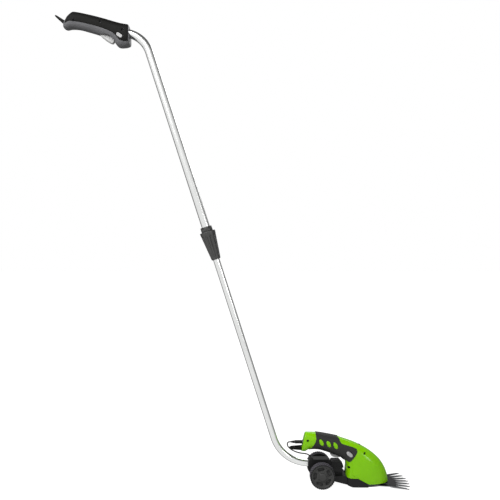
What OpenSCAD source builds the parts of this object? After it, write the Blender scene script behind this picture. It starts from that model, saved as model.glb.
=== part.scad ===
// Cordless grass shears carried on a wheeled telescopic pole.
// +X points to the blade tips, +Y to the left of the user, +Z up, all in millimetres.
// The origin lies on the ground, on the flat under the shoe.

/* [Pole] */
// Lean of the pole back from upright, in degrees
pole_lean = 17.9; // [14:0.1:22]
// Distance along the pole between the corners of its two bends
pole_span = 1105; // [1040:1:1180]
// Outside diameter of the upper tube
upper_tube_d = 21; // [20.5:0.1:22]
// Outside diameter of the lower tube
lower_tube_d = 16.5; // [15:0.1:17]
// Wall of both tubes
tube_wall = 1.2; // [1:0.1:1.4]
// Centreline radius of the upper bend
upper_bend_r = 70; // [60:1:80]
// Centreline radius of the lower bend
lower_bend_r = 90; // [70:1:100]
// Slope of the pole handle above level, in degrees
handle_tilt = 17; // [12:0.5:22]
// Slope of the lower tube where it enters the carriage, in degrees
entry_tilt = 7.5; // [5:0.5:10]
// Distance from the lower corner to the mouth of the carriage
entry_run = 76; // [70:1:90]
// Height of the collar above the lower corner, along the pole
collar_at = 525; // [480:1:560]
// Telescope travel
pole_travel = 300; // [200:5:320]

/* [Collar] */
// Height of the twist nut
nut_h = 73; // [68:1:80]
// Outside diameter of the twist nut at its top
nut_top_d = 39; // [37:0.5:42]
// Outside diameter of the twist nut at its foot
nut_foot_d = 23; // [22.5:0.5:26]
// Number of finger flutes round the nut
flute_count = 10; // [6:1:12]
// Outside diameter of the castellated ring above the nut
ring_d = 29; // [28:0.5:32]

/* [Pole handle] */
// Length of the pole handle
handle_len = 172; // [164:1:182]
// Height of the pole handle from lobe to crown
handle_h = 60; // [58:1:64]
// Width of the pole handle
handle_w = 36; // [35:0.5:40]

/* [Shear body] */
// Length of the hand unit from rear end to nose
unit_len = 216; // [210:1:226]
// Height of the top of the hand unit above the ground
unit_h = 126; // [123:1:132]
// Greatest width of the hand unit
unit_w = 70; // [68:1:76]
// Wall of the moulded shells
shell_wall = 2.4; // [2:0.1:2.6]

/* [Blades] */
// Number of teeth on the fixed comb
tooth_count = 7; // [6:1:9]
// Width of the fixed comb over its outermost tips
comb_w = 102; // [94:1:110]
// Distance from the blade pivot to the tips
tip_reach = 130; // [124:1:136]
// Thickness of each blade
blade_t = 1.2; // [1:0.1:1.3]

/* [Carriage] */
// Wheel diameter over the tyre
wheel_d = 61; // [58:1:66]
// Wheel width
wheel_w = 20; // [16:1:22]
// Width of the carriage between the wheels
carriage_w = 52; // [50:1:58]
// Diameter of the axle
axle_d = 6; // [5:0.5:7]

/* [Hidden] */
$fn = 48;
over = 1;
run_gap = 0.3;
seat_gap = 0.05;
side_gap = 0.4;

alu = [0.78, 0.79, 0.8];
black = [0.12, 0.12, 0.12];
dark = [0.22, 0.22, 0.21];
green = [0.47, 0.74, 0.05];
pale = [0.85, 0.85, 0.85];
steel = [0.55, 0.55, 0.56];
brass = [0.75, 0.6, 0.3];
rubber = [0.16, 0.16, 0.16];
board = [0.1, 0.35, 0.2];

// Wheel axle and the mouth of the carriage
nose_x = 86;
foot_rear_share = 0.512;
foot_rear = nose_x - unit_len * (1 - foot_rear_share);
axle_back = 61.592;
axle_x = foot_rear - axle_back;
axle_z = wheel_d / 2;
mouth_rise = 16.5;
mouth_back = 23.5;
mouth = [axle_x - mouth_back, axle_z + mouth_rise];
carriage_half = carriage_w / 2;
wheel_gap = 3;
wheel_in = carriage_half + wheel_gap;
wheel_out = wheel_in + wheel_w;

// Pole line
lower_turn = 90 - pole_lean - entry_tilt;
lower_tan = lower_bend_r * tan(lower_turn / 2);
lower_corner = mouth + entry_run * [-cos(entry_tilt), sin(entry_tilt)];
pole_dir = [-sin(pole_lean), cos(pole_lean)];
upper_turn = 90 - pole_lean - handle_tilt;
upper_tan = upper_bend_r * tan(upper_turn / 2);
upper_corner = lower_corner + pole_span * pole_dir;
handle_dir = [-cos(handle_tilt), sin(handle_tilt)];
handle_gap = 1;
handle_at = upper_corner + (upper_tan + handle_gap) * handle_dir;
lower_bore = lower_tube_d - 2 * tube_wall;
upper_bore = upper_tube_d - 2 * tube_wall;
tube_insert = 42;
tube_in_handle = 26;
ring_h = 12;
nut_top = collar_at + nut_h;
upper_low = collar_at + nut_h * 0.6;
upper_straight = pole_span - upper_tan - upper_low;
tube_overlap = 130;
lower_top = upper_low + tube_overlap;
bush_h = 18;
bush_lip = 2.5;
bend_thin = 0.05;

// Shapes shared by the moulded shells
section_points = 12;
steps_per_span = 3;

function clip(list, i) = list[max(0, min(len(list) - 1, i))];
function blend(a, b, c, d, t) =
    0.5 * (2 * b + (c - a) * t + (2 * a - 5 * b + 4 * c - d) * t * t + (3 * b - a - 3 * c + d) * t * t * t);
function along_rows(rows, u) =
    let (i = max(0, min(floor(u), len(rows) - 2)), t = u - i)
    blend(clip(rows, i - 1), clip(rows, i), clip(rows, i + 1), clip(rows, i + 2), t);

// One point of a moulded section; a runs from 0 at the inner edge to 180 at the outer edge
function section_point(row, inset, a, side) =
    let (o = [row[0], row[1]], i = [row[2], row[3]], d = (o - i) / norm(o - i))
    let (reach = norm(o - i) - 2 * inset, w = row[4] - inset, c = cos(a))
    let (n = c >= 0 ? row[5] : row[6], mid = row[7])
    let (q = c >= 0 ? mid * (1 - pow(c, 2 / n)) : mid + (1 - mid) * pow(-c, 2 / n))
    let (p = i + d * (inset + q * reach), y = w * pow(max(0, sin(a)), 2 / n))
    [p[0], side * y, p[1]];
function half_ring(row, inset, side) =
    [for (k = [0 : section_points]) section_point(row, inset, 180 * k / section_points, side)];
function fine_rows(rows, first, last) =
    let (n = round((last - first) * steps_per_span))
    [for (i = [0 : n]) along_rows(rows, first + (last - first) * i / n)];

// A solid through a list of rings
module ring_loft(rings) {
    n = len(rings[0]);
    m = len(rings);
    pts = [for (r = rings) each r];
    sides = [for (i = [0 : m - 2], j = [0 : n - 1])
        let (a = i * n + j, b = i * n + (j + 1) % n, c = a + n, d = b + n)
        each [[a, b, c], [b, d, c]]];
    foot = [for (j = [1 : n - 2]) [0, j + 1, j]];
    head = [for (j = [1 : n - 2]) [(m - 1) * n, (m - 1) * n + j, (m - 1) * n + j + 1]];
    polyhedron(points = pts, faces = concat(sides, foot, head));
}

// Half of a moulded solid, on the near side
module half_solid(rows, inset, first, last) {
    ring_loft([for (r = fine_rows(rows, first, last)) half_ring(r, inset, -1)]);
}

// A thin layer lying over part of the moulded surface; lows gives its lower edge along its length
module skin(rows, low, high, starts, ends, lows, spans) {
    m = section_points + 1;
    function edge(list, k) = along_rows([for (v = list) [v]], k / section_points * (len(list) - 1))[0];
    function u_at(i, k) = edge(starts, k) + (edge(ends, k) - edge(starts, k)) * i / spans;
    function a_at(i, k) =
        let (a = along_rows([for (v = lows) [v]], i / spans * (len(lows) - 1))[0])
        a + (180 - a) * k / (m - 1);
    function layer(g) = [for (i = [0 : spans], k = [0 : m - 1])
        section_point(along_rows(rows, u_at(i, k)), -g, a_at(i, k), -1)];
    pts = concat(layer(high), layer(low));
    b = (spans + 1) * m;
    top = [for (i = [0 : spans - 1], k = [0 : m - 2])
        let (p = i * m + k)
        each [[p, p + 1, p + m], [p + 1, p + m + 1, p + m]]];
    under = [for (f = top) [f[0] + b, f[2] + b, f[1] + b]];
    rim_a = [for (k = [0 : m - 2]) let (p = k) each [[p, p + b, p + 1], [p + 1, p + b, p + b + 1]]];
    rim_b = [for (k = [0 : m - 2]) let (p = spans * m + k)
        each [[p, p + 1, p + b], [p + 1, p + b + 1, p + b]]];
    rim_c = [for (i = [0 : spans - 1]) let (p = i * m)
        each [[p, p + m, p + b], [p + m, p + m + b, p + b]]];
    rim_d = [for (i = [0 : spans - 1]) let (p = i * m + m - 1)
        each [[p, p + b, p + m], [p + m, p + b, p + m + b]]];
    polyhedron(points = pts, faces = concat(top, under, rim_a, rim_b, rim_c, rim_d));
}

// A wire spring standing on z
spring_sides = 6;
spring_steps = 10;
module coil(r, wire, h, turns) {
    n = turns * spring_steps;
    rise = (h - wire) / turns;
    ring_loft([for (i = [0 : n])
        let (a = 360 * i / spring_steps, out = [cos(a), sin(a), 0])
        let (way = unit([-2 * PI * r * sin(a), 2 * PI * r * cos(a), rise]), up = cross(way, out))
        [for (k = [0 : spring_sides - 1]) r * out + [0, 0, wire / 2 + rise * i / spring_steps]
            + wire / 2 * (cos(360 * k / spring_sides) * out - sin(360 * k / spring_sides) * up)]]);
}

// Placing helpers
module heading(p, a) {
    translate([p[0], 0, p[1]]) rotate([0, 90 - a, 0]) children();
}
module on_pole(t) {
    heading(lower_corner, 90 + pole_lean) translate([0, 0, t]) children();
}
module on_handle() {
    translate([handle_at[0], 0, handle_at[1]]) rotate([0, handle_tilt, 0]) children();
}
module across(x, z, y) {
    translate([x, y, z]) rotate([90, 0, 0]) children();
}
module pipe(d, bore, h) {
    difference() {
        cylinder(d = d, h = h);
        translate([0, 0, -over]) cylinder(d = bore, h = h + 2 * over);
    }
}
module bend(r, d, turn) {
    rotate([90, 0, 0]) translate([-r, 0, 0]) rotate_extrude(angle = turn) translate([r, 0]) circle(d = d);
}
module past_bend(r, turn) {
    translate([-r, 0, 0]) rotate([0, -turn, 0]) translate([r, 0, -over]) children();
}
// A tube with one bend; the bend is drawn a hair thinner than the straights
module bent_tube(d, bore, r, turn, before, after) {
    difference() {
        union() {
            translate([0, 0, -before]) cylinder(d = d, h = before + over);
            bend(r, d - 2 * bend_thin, turn);
            past_bend(r, turn) cylinder(d = d, h = after + over);
        }
        translate([0, 0, -before - over]) cylinder(d = bore, h = before + 2 * over);
        bend(r, bore + 2 * bend_thin, turn);
        past_bend(r, turn) cylinder(d = bore, h = after + 2 * over);
    }
}
module side_plate(pts, half) {
    translate([0, half, 0]) rotate([90, 0, 0]) linear_extrude(2 * half) polygon(pts);
}
module slot_shape(len, w) {
    square([len - w, w], center = true);
    translate([(len - w) / 2, 0]) circle(d = w);
    translate([(w - len) / 2, 0]) circle(d = w);
}

// Upper tube and collar
module upper_tube() {
    cross = handle_screws[0];
    color(alu) difference() {
        heading(upper_corner - upper_tan * pole_dir, 90 + pole_lean) bent_tube(upper_tube_d, upper_bore,
            upper_bend_r, upper_turn, upper_straight, handle_gap + tube_in_handle);
        on_handle() across(cross[0] * handle_len, cross[1] * handle_h, handle_w)
            cylinder(d = screw_d + 2 * seat_gap, h = 2 * handle_w);
    }
}

collet_top_d = 28;
collet_foot_d = 20.6;
collet_foot = nut_h * 0.34;
slit_w = 1.6;
slit_count = 4;
notch_w = 5;
notch_depth = 5;
notch_count = 6;
module collar_collet() {
    h = nut_h - collet_foot;
    seat = upper_low - collar_at - collet_foot;
    color(black) on_pole(collar_at + collet_foot) difference() {
        union() {
            cylinder(d1 = collet_foot_d, d2 = collet_top_d, h = h);
            translate([0, 0, h]) cylinder(d = ring_d, h = ring_h);
        }
        translate([0, 0, -over]) cylinder(d = lower_tube_d + 2 * run_gap, h = h);
        translate([0, 0, seat]) cylinder(d = upper_tube_d + 2 * seat_gap, h = h + ring_h);
        for (i = [0 : slit_count - 1]) rotate(i * 360 / slit_count)
            translate([0, -slit_w / 2, -over]) cube([collet_top_d, slit_w, seat]);
        for (i = [0 : notch_count - 1]) rotate(i * 360 / notch_count)
            translate([upper_tube_d / 2 + tube_wall, -notch_w / 2, h + ring_h - notch_depth])
                cube([ring_d, notch_w, notch_depth + over]);
    }
}

nut_lip = 4;
nut_chamfer = 2;
nut_gap = 0.35;
flute_d = 10;
flute_cut = 1.6;
module collar_nut() {
    top_r = nut_top_d / 2;
    foot_r = nut_foot_d / 2;
    in_r = collet_top_d / 2 + nut_gap;
    in_foot_r = collet_foot_d / 2 + nut_gap;
    bore_r = lower_tube_d / 2 + side_gap;
    tilt = atan((top_r - foot_r) / (nut_h - nut_lip));
    color(black) on_pole(collar_at) difference() {
        rotate_extrude() polygon([[bore_r, 0], [foot_r - nut_chamfer / 2, 0], [foot_r, nut_chamfer],
            [top_r, nut_h - nut_lip], [top_r, nut_h - nut_chamfer / 2],
            [top_r - nut_chamfer / 2, nut_h - nut_gap],
            [in_r, nut_h - nut_gap], [in_foot_r, collet_foot - nut_gap], [bore_r,
                collet_foot - nut_gap]]);
        for (i = [0 : flute_count - 1]) rotate((i + 0.5) * 360 / flute_count)
            translate([foot_r + flute_d / 2 - flute_cut, 0, nut_lip])
                rotate([0, tilt, 0]) cylinder(d = flute_d, h = nut_h - 3 * nut_lip);
    }
}

// Lower tube with its guide bush
module lower_tube() {
    color(alu) heading(lower_corner + lower_tan * pole_dir, pole_lean - 90) bent_tube(lower_tube_d,
        lower_bore, lower_bend_r, lower_turn, lower_top - lower_tan, entry_run - lower_tan + tube_insert);
}

module guide_bush() {
    color(black) on_pole(lower_top - bush_h) difference() {
        cylinder(d = upper_bore - 2 * seat_gap, h = bush_h + bush_lip);
        translate([0, 0, -over]) cylinder(d = lower_tube_d + 2 * seat_gap, h = bush_h + over);
        translate([0, 0, bush_h - over]) cylinder(d = lower_bore, h = bush_lip + 2 * over);
    }
}

// Pole handle, in its own frame: x forwards along the tube, z up, tube axis at x
handle_top_x_shares = [-0.938, -0.928, -0.912, -0.884, -0.832, -0.72, -0.58, -0.42, -0.29, -0.2, -0.13,
    -0.075, -0.05];
handle_low_x_shares = [-0.968, -0.95, -0.918, -0.884, -0.832, -0.72, -0.58, -0.42, -0.29, -0.19,
    -0.098, -0.012, 0.046];
handle_top_shares = [-0.13, -0.05, 0.04, 0.143, 0.18, 0.213, 0.243, 0.263, 0.267, 0.273, 0.29, 0.308,
    0.29];
handle_low_shares = [-0.5, -0.57, -0.61, -0.6, -0.52, -0.443, -0.427, -0.427, -0.467, -0.53, -0.67,
    -0.63, -0.43];
handle_wide_shares = [0.62, 0.76, 0.86, 0.92, 0.95, 0.97, 0.97, 0.94, 0.94, 0.97, 1, 1, 0.95];
handle_round_shares = [2.4, 2.4, 2.4, 2.4, 2.4, 2.4, 2.4, 2.4, 2.4, 2.5, 2.6, 2.8, 2.8];
handle_mid_share = 0.52;
handle_rows = [for (i = [0 : len(handle_top_shares) - 1])
    [handle_top_x_shares[i] * handle_len, handle_top_shares[i] * handle_h,
    handle_low_x_shares[i] * handle_len, handle_low_shares[i] * handle_h,
    handle_wide_shares[i] * handle_w / 2, handle_round_shares[i], handle_round_shares[i],
    handle_mid_share]];
handle_ends = len(handle_rows) - 1;
handle_hollow_first = 2.6;
handle_hollow_stop = 3.4;
handle_hollow_last = handle_ends - handle_hollow_stop;
handle_wall = 4.6;
screw_d = 3;
screw_head_d = 5.6;
screw_head_h = 2.2;
screw_boss_d = 8;
screw_pocket_d = 6.2;
screw_share_in = 0.62;
handle_screws = [[-0.104, 0.005], [-0.445, 0.04], [-0.816, -0.225]];

// Pole trigger sits in a slot under the handle, hinged at its rear end
trigger_w = 12;
trigger_slot_w = trigger_w + 2 * side_gap;
pole_pivot = [-0.41 * handle_len, -0.35 * handle_h];
pole_trigger_len = 0.212 * handle_len;
arch_at = [-0.308 * handle_len, -0.82 * handle_h];
arch_r = 0.477 * handle_h;
pivot_d = 3;
pivot_boss_d = 8;
trigger_swing = 7;
// Profiles of the two triggers as shares of their length, from the pivot towards the free end
trigger_x_shares = [-0.08, 0, 0.3, 0.66, 0.88, 1, 1.03, 1, 0.55, 0.1];
pole_trigger_z_shares = [0.08, -0.12, -0.27, -0.39, -0.43, -0.4, -0.28, -0.06, 0.03, 0.1];
shear_trigger_z_shares = [0.08, -0.14, -0.36, -0.45, -0.4, -0.3, -0.16, 0, 0.05, 0.1];
module trigger_blank(len, w, drops) {
    pts = [for (i = [0 : len(trigger_x_shares) - 1]) [trigger_x_shares[i] * len, drops[i] * len]];
    difference() {
        union() {
            side_plate(pts, w / 2);
            across(0, 0, w / 2) cylinder(d = pivot_boss_d, h = w);
        }
        across(0, 0, w / 2 + over) cylinder(d = pivot_d + 2 * seat_gap, h = w + 2 * over);
    }
}
trigger_roof = 0.75 * pivot_boss_d;
spring_r = 2.6;
spring_wire = 0.7;
spring_turns = 3;
spring_seat = 0.6;
module trigger_spring(len) {
    translate([len * 0.72, 0, spring_seat]) coil(spring_r, spring_wire, trigger_roof - 1.6 * spring_seat,
        spring_turns);
}
module trigger_sweep(len, w, roof) {
    translate([-pivot_boss_d / 2 - side_gap, -w / 2, -len]) cube([len * 1.04 + pivot_boss_d, w,
        len + roof]);
}
module pole_trigger_place() {
    on_handle() translate([pole_pivot[0], 0, pole_pivot[1]]) children();
}
module pole_trigger() {
    color(pale) pole_trigger_place() trigger_blank(pole_trigger_len, trigger_w,
        pole_trigger_z_shares);
}
module pole_trigger_spring() {
    color(steel) pole_trigger_place() trigger_spring(pole_trigger_len);
}
pin_reach = 2.5;
module pole_trigger_pin() {
    color(steel) pole_trigger_place() across(0, 0, trigger_slot_w / 2 + pin_reach)
        cylinder(d = pivot_d, h = trigger_slot_w + 2 * pin_reach);
}

// Lock button in the near side of the pole handle
button_len = 18;
button_w = 10;
button_h = 9;
button_proud = 2.4;
button_flange = 1.2;
button_flange_h = 1.6;
button_travel = 2;
pole_button_at = [-0.12 * handle_len, -0.26 * handle_h];
pole_button_tilt = 19;
pole_button_y = -handle_w / 2 * 0.97;
module button_hole(grow) {
    rotate([90, 0, 0]) linear_extrude(handle_w) slot_shape(button_len + 2 * grow, button_w + 2 * grow);
}
module lock_button_blank() {
    rotate([90, 0, 0]) {
        linear_extrude(button_proud) slot_shape(button_len - button_flange, button_w - button_flange);
        translate([0, 0, -button_h]) linear_extrude(button_h) slot_shape(button_len, button_w);
    }
}
module pole_button_place() {
    on_handle() translate([pole_button_at[0], pole_button_y, pole_button_at[1]])
        rotate([0, pole_button_tilt, 0]) children();
}
module pole_lock_button() {
    color(pale) pole_button_place() lock_button_blank();
}

module handle_screw_place() {
    on_handle() for (s = handle_screws) translate([s[0] * handle_len, 0, s[1] * handle_h])
        rotate([90, 0, 0]) children();
}
screw_head_at = handle_w / 2 * screw_share_in;
module handle_screws() {
    color(steel) handle_screw_place() {
        translate([0, 0, screw_head_at]) cylinder(d = screw_head_d, h = screw_head_h);
        translate([0, 0, -screw_head_at]) cylinder(d = screw_d, h = 2 * screw_head_at);
    }
}

switch_len = 16;
switch_w = 6;
switch_h = 9;
switch_gap = 1.2;
switch_rib_t = 2;
module switch_ribs(reach) {
    for (x = [-switch_rib_t - seat_gap, switch_len + seat_gap]) translate([x, -reach, 0])
        cube([switch_rib_t, reach, switch_h]);
}
module pole_switch_place() {
    translate([pole_pivot[0] + pole_trigger_len * 0.3, 0, pole_pivot[1] + trigger_roof + switch_gap])
        children();
}
module handle_half() {
    difference() {
        union() {
            pole_switch_place() switch_ribs(handle_w / 2 - handle_wall / 2 - switch_rib_t / 2);
            difference() {
                half_solid(handle_rows, 0, 0, handle_ends);
                translate([0, over / 2, 0]) half_solid(handle_rows, handle_wall, handle_hollow_first,
                    handle_hollow_last);
            }
            for (s = handle_screws) across(s[0] * handle_len, s[1] * handle_h, 0)
                cylinder(d = screw_boss_d, h = handle_w / 2 * 0.8);
            across(pole_pivot[0], pole_pivot[1], -trigger_slot_w / 2)
                cylinder(d = pivot_boss_d, h = handle_w / 2 * 0.6 - trigger_slot_w / 2);
        }
        translate([-tube_in_handle - seat_gap, 0, 0]) rotate([0, 90, 0])
            cylinder(d = upper_tube_d + 2 * seat_gap, h = handle_len);
        translate([pole_pivot[0], 0, pole_pivot[1]])
            trigger_sweep(pole_trigger_len, trigger_slot_w, trigger_roof);
        across(arch_at[0], arch_at[1], over) cylinder(r = arch_r, h = handle_w);
        across(pole_pivot[0], pole_pivot[1], over)
            cylinder(d = pivot_d + 2 * seat_gap, h = trigger_slot_w / 2 + pin_reach + over + seat_gap);
        for (s = handle_screws) across(s[0] * handle_len, s[1] * handle_h, over)
            cylinder(d = screw_d + 2 * seat_gap, h = handle_w);
    }
}
module near_pockets() {
    for (s = handle_screws) across(s[0] * handle_len, s[1] * handle_h, -screw_head_at)
        cylinder(d = screw_pocket_d, h = handle_w);
    translate([pole_button_at[0], pole_button_y + button_h + button_travel + run_gap, pole_button_at[1]])
        rotate([0, pole_button_tilt, 0]) button_hole(run_gap);
}
module pole_handle_near() {
    color(dark) on_handle() difference() {
        handle_half();
        near_pockets();
    }
}
module pole_handle_far() {
    color(dark) on_handle() mirror([0, 1, 0]) difference() {
        handle_half();
        for (s = handle_screws) across(s[0] * handle_len, s[1] * handle_h, -screw_head_at)
            cylinder(d = screw_d, h = handle_w);
    }
}

// Soft cover over the top of the pole handle, in two halves
skin_low = 0.3;
skin_high = 1.3;
cover_starts = [2.2, 2.1, 2, 2, 2, 2, 2, 2, 2];
cover_ends = [10.2, 10.4, 10.6, 10.7, 10.7, 10.7, 10.7, 10.7, 10.7];
cover_lows = [76, 70, 67, 65, 62, 60, 58];
cover_spans = 20;
module pole_cover_half() {
    on_handle() difference() {
        skin(handle_rows, skin_low, skin_high, cover_starts, cover_ends, cover_lows, cover_spans);
        for (s = handle_screws) across(s[0] * handle_len, s[1] * handle_h, 0)
            cylinder(d = screw_pocket_d + side_gap, h = handle_w);
    }
}
module pole_cover_near() {
    color(black) difference() {
        pole_cover_half();
        pole_button_place() translate([0, button_h, 0]) button_hole(run_gap);
    }
}
module pole_cover_far() {
    color(black) mirror([0, 1, 0]) pole_cover_half();
}

// Hanging loop at the back of the pole handle: a flat tapered bow
loop_len = 31;
loop_w = 18;
loop_bar = 4;
loop_tip_t = 2.6;
loop_root_t = 8;
module bow(len, w, lean) {
    lap = tan(lean) * loop_root_t / 2;
    difference() {
        side_plate([[lap - seat_gap, loop_root_t / 2], [-lap - seat_gap, -loop_root_t / 2],
            [-len, -loop_tip_t / 2], [-len, loop_tip_t / 2]], w / 2);
        translate([0, 0, -loop_root_t]) linear_extrude(2 * loop_root_t) difference() {
            translate([-len - over, -w]) square([w / 2 + over, 2 * w]);
            translate([w / 2 - len, 0]) circle(d = w);
        }
        translate([0, 0, -loop_root_t]) linear_extrude(2 * loop_root_t) {
            translate([w / 2 - len, 0]) circle(d = w - 2 * loop_bar);
            translate([w / 2 - len, loop_bar - w / 2]) square([len - w / 2 - loop_bar, w - 2 * loop_bar]);
        }
    }
}
function end_lean(row) = atan((row[0] - row[2]) / (row[1] - row[3]));
function end_spot(row, share) = [row[2] + share * (row[0] - row[2]), row[3] + share * (row[1] - row[3])];
pole_loop_at = end_spot(handle_rows[0], 0.38);
pole_loop_tilt = 20;
module pole_hang_loop() {
    color(black) on_handle() translate([pole_loop_at[0], 0, pole_loop_at[1]])
        rotate([0, pole_loop_tilt, 0]) bow(loop_len, loop_w, end_lean(handle_rows[0]) - pole_loop_tilt);
}

// Switch behind the pole trigger
module switch_solid() {
    translate([0, -switch_w / 2, 0]) cube([switch_len, switch_w, switch_h]);
}
module pole_switch() {
    color(black) on_handle() pole_switch_place() switch_solid();
}

// Hand unit rows: outer edge x z, inner edge x z, half width, roundness inside and outside, widest share
unit_rear = nose_x - unit_len;
outer_x_shares = [0.049, 0.106, 0.168, 0.275, 0.405, 0.5, 0.593, 0.685, 0.766, 0.842, 0.909, 0.957, 0.988,
    1, 0.996];
outer_z_shares = [0.998, 0.995, 0.99, 0.963, 0.919, 0.869, 0.813, 0.742, 0.665, 0.57, 0.46, 0.336, 0.2,
    0.08,
    0.026];
inner_x_shares = [0, 0.046, 0.092, 0.199, 0.315, 0.407, 0.472, 0.507, 0.514, 0.512, 0.51, 0.509, 0.509,
    0.51,
    foot_rear_share];
inner_z_shares = [0.627, 0.625, 0.668, 0.671, 0.615, 0.56, 0.504, 0.427, 0.341, 0.266, 0.2, 0.145, 0.098,
    0.056, 0.026];
unit_wide_shares = [0.4, 0.47, 0.51, 0.525, 0.53, 0.57, 0.65, 0.74, 0.82, 0.89, 0.94, 0.97, 0.98,
    0.985, 0.98];
inner_round_shares = [2.4, 2.4, 2.4, 2.4, 2.4, 2.5, 2.8, 3.4, 4, 4.4, 4.6, 4.8, 5, 5, 5];
outer_round_shares = [2.6, 2.5, 2.4, 2.3, 2.3, 2.3, 2.3, 2.3, 2.3, 2.3, 2.3, 2.3, 2.3, 2.3, 2.3];
unit_mid_shares = [0.5, 0.5, 0.5, 0.5, 0.5, 0.5, 0.48, 0.46, 0.44, 0.43, 0.42, 0.41, 0.4, 0.4, 0.4];
unit_rows = [for (i = [0 : len(outer_x_shares) - 1])
    [unit_rear + outer_x_shares[i] * unit_len, outer_z_shares[i] * unit_h,
    unit_rear + inner_x_shares[i] * unit_len, inner_z_shares[i] * unit_h,
    unit_wide_shares[i] * unit_w / 2, inner_round_shares[i], outer_round_shares[i], unit_mid_shares[i]]];
unit_ends = len(unit_rows) - 1;
unit_hollow_first = 0.7;

// Plan of the foot of the hand unit
foot_row = unit_rows[unit_ends];
foot_angles = [for (k = [0 : 2 * section_points]) 180 * k / (2 * section_points)];
function plan_points(inset) = concat(
    [for (a = foot_angles) let (p = section_point(foot_row, inset, a, -1)) [p[0], p[1]]],
    [for (k = [2 * section_points - 1 : -1 : 1])
        let (p = section_point(foot_row, inset, foot_angles[k], 1)) [p[0], p[1]]]);
module plan(inset) {
    polygon(plan_points(inset));
}

// Heights of the blade stack and the floor of the hand unit
shoe_floor_t = 1.4;
sole_lift = 0.5;
sole_t = 1.2;
stack_gap = 0.1;
comb_z = sole_lift + sole_t + stack_gap;
blade_gap = 0.15;
knife_z = comb_z + blade_t + blade_gap;
base_gap = 0.35;
base_z = knife_z + blade_t + base_gap;
base_t = 3;
base_top = base_z + base_t;
skirt_low = shoe_floor_t + run_gap;
rear_edge_z = 21;
step_x = [8, 24, 32];
step_z = [rear_edge_z, 12.5, base_z];

// Region below the lower edge of the green shells
module below_edge(drop) {
    side_plate([[unit_rear * 2, -unit_h], [unit_rear * 2, step_z[0] - drop], [step_x[0],
        step_z[0] - drop],
        [step_x[1], step_z[1] - drop], [step_x[2], step_z[2] - drop], [nose_x * 2, step_z[2] - drop],
        [nose_x * 2, -unit_h]], unit_w);
}

unit_screws = [[0.074, 0.857, 0.85], [0.719, 0.625, 0.8], [0.538, 0.362, 0.8]];
unit_screw_in_shares = [0.26, 0.42, 0.5];
function unit_spot(s) = [unit_rear + s[0] * unit_len, s[1] * unit_h];

// Trigger of the hand unit, hinged at its front end under the grip
shear_trigger_w = 11;
shear_slot_w = shear_trigger_w + 2 * side_gap;
shear_trigger_len = 0.132 * unit_len;
shear_pivot = [unit_rear + 0.474 * unit_len, 0.552 * unit_h];
shear_trigger_tilt = 22;
module shear_trigger_place() {
    translate([shear_pivot[0], 0, shear_pivot[1]]) rotate([0, shear_trigger_tilt, 0]) mirror([1, 0, 0])
        children();
}
module shear_trigger() {
    color(pale) shear_trigger_place() trigger_blank(shear_trigger_len, shear_trigger_w,
        shear_trigger_z_shares);
}
module shear_trigger_spring() {
    color(steel) shear_trigger_place() trigger_spring(shear_trigger_len);
}
module shear_trigger_pin() {
    color(steel) shear_trigger_place() across(0, 0, shear_slot_w / 2 + pin_reach)
        cylinder(d = pivot_d, h = shear_slot_w + 2 * pin_reach);
}

shear_button_at = [unit_rear + 0.546 * unit_len, 0.615 * unit_h];
shear_button_tilt = 38;
shear_button_y = -unit_w / 2 * 0.725;
module shear_button_place() {
    translate([shear_button_at[0], shear_button_y, shear_button_at[1]]) rotate([0, shear_button_tilt, 0])
        children();
}
module shear_lock_button() {
    color(pale) shear_button_place() lock_button_blank();
}

// Status light on the crown
lens_d = 5;
lens_h = 7;
lens_at = [unit_rear + 0.676 * unit_len, 0.752 * unit_h];
lens_tilt = 27;
lens_proud = 1;
module lens_place() {
    translate([lens_at[0], 0, lens_at[1]]) rotate([0, lens_tilt, 0]) children();
}
module status_lens() {
    color(dark) lens_place() translate([0, 0, lens_proud - lens_h]) cylinder(d = lens_d, h = lens_h);
}

// Charge socket in the rear end, with the lead plugged in
socket_z = 0.8 * unit_h;
socket_x = unit_rear + 0.021 * unit_len;
socket_d = 10;
socket_len = 14;
jack_d = 5.5;
jack_len = 9;
socket_proud = 1.4;
socket_face = socket_x - socket_proud;
module socket_place() {
    translate([socket_face, 0, socket_z]) rotate([0, 90, 0]) children();
}
module charge_socket() {
    color(black) socket_place() difference() {
        cylinder(d = socket_d, h = socket_len);
        translate([0, 0, -over]) cylinder(d = jack_d + 2 * seat_gap, h = jack_len + over + run_gap);
    }
}
shear_loop_at = end_spot(unit_rows[0], 0.16);
module shear_hang_loop() {
    color(black) translate([shear_loop_at[0], 0, shear_loop_at[1]]) bow(loop_len, loop_w,
        end_lean(unit_rows[0]));
}

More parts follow.
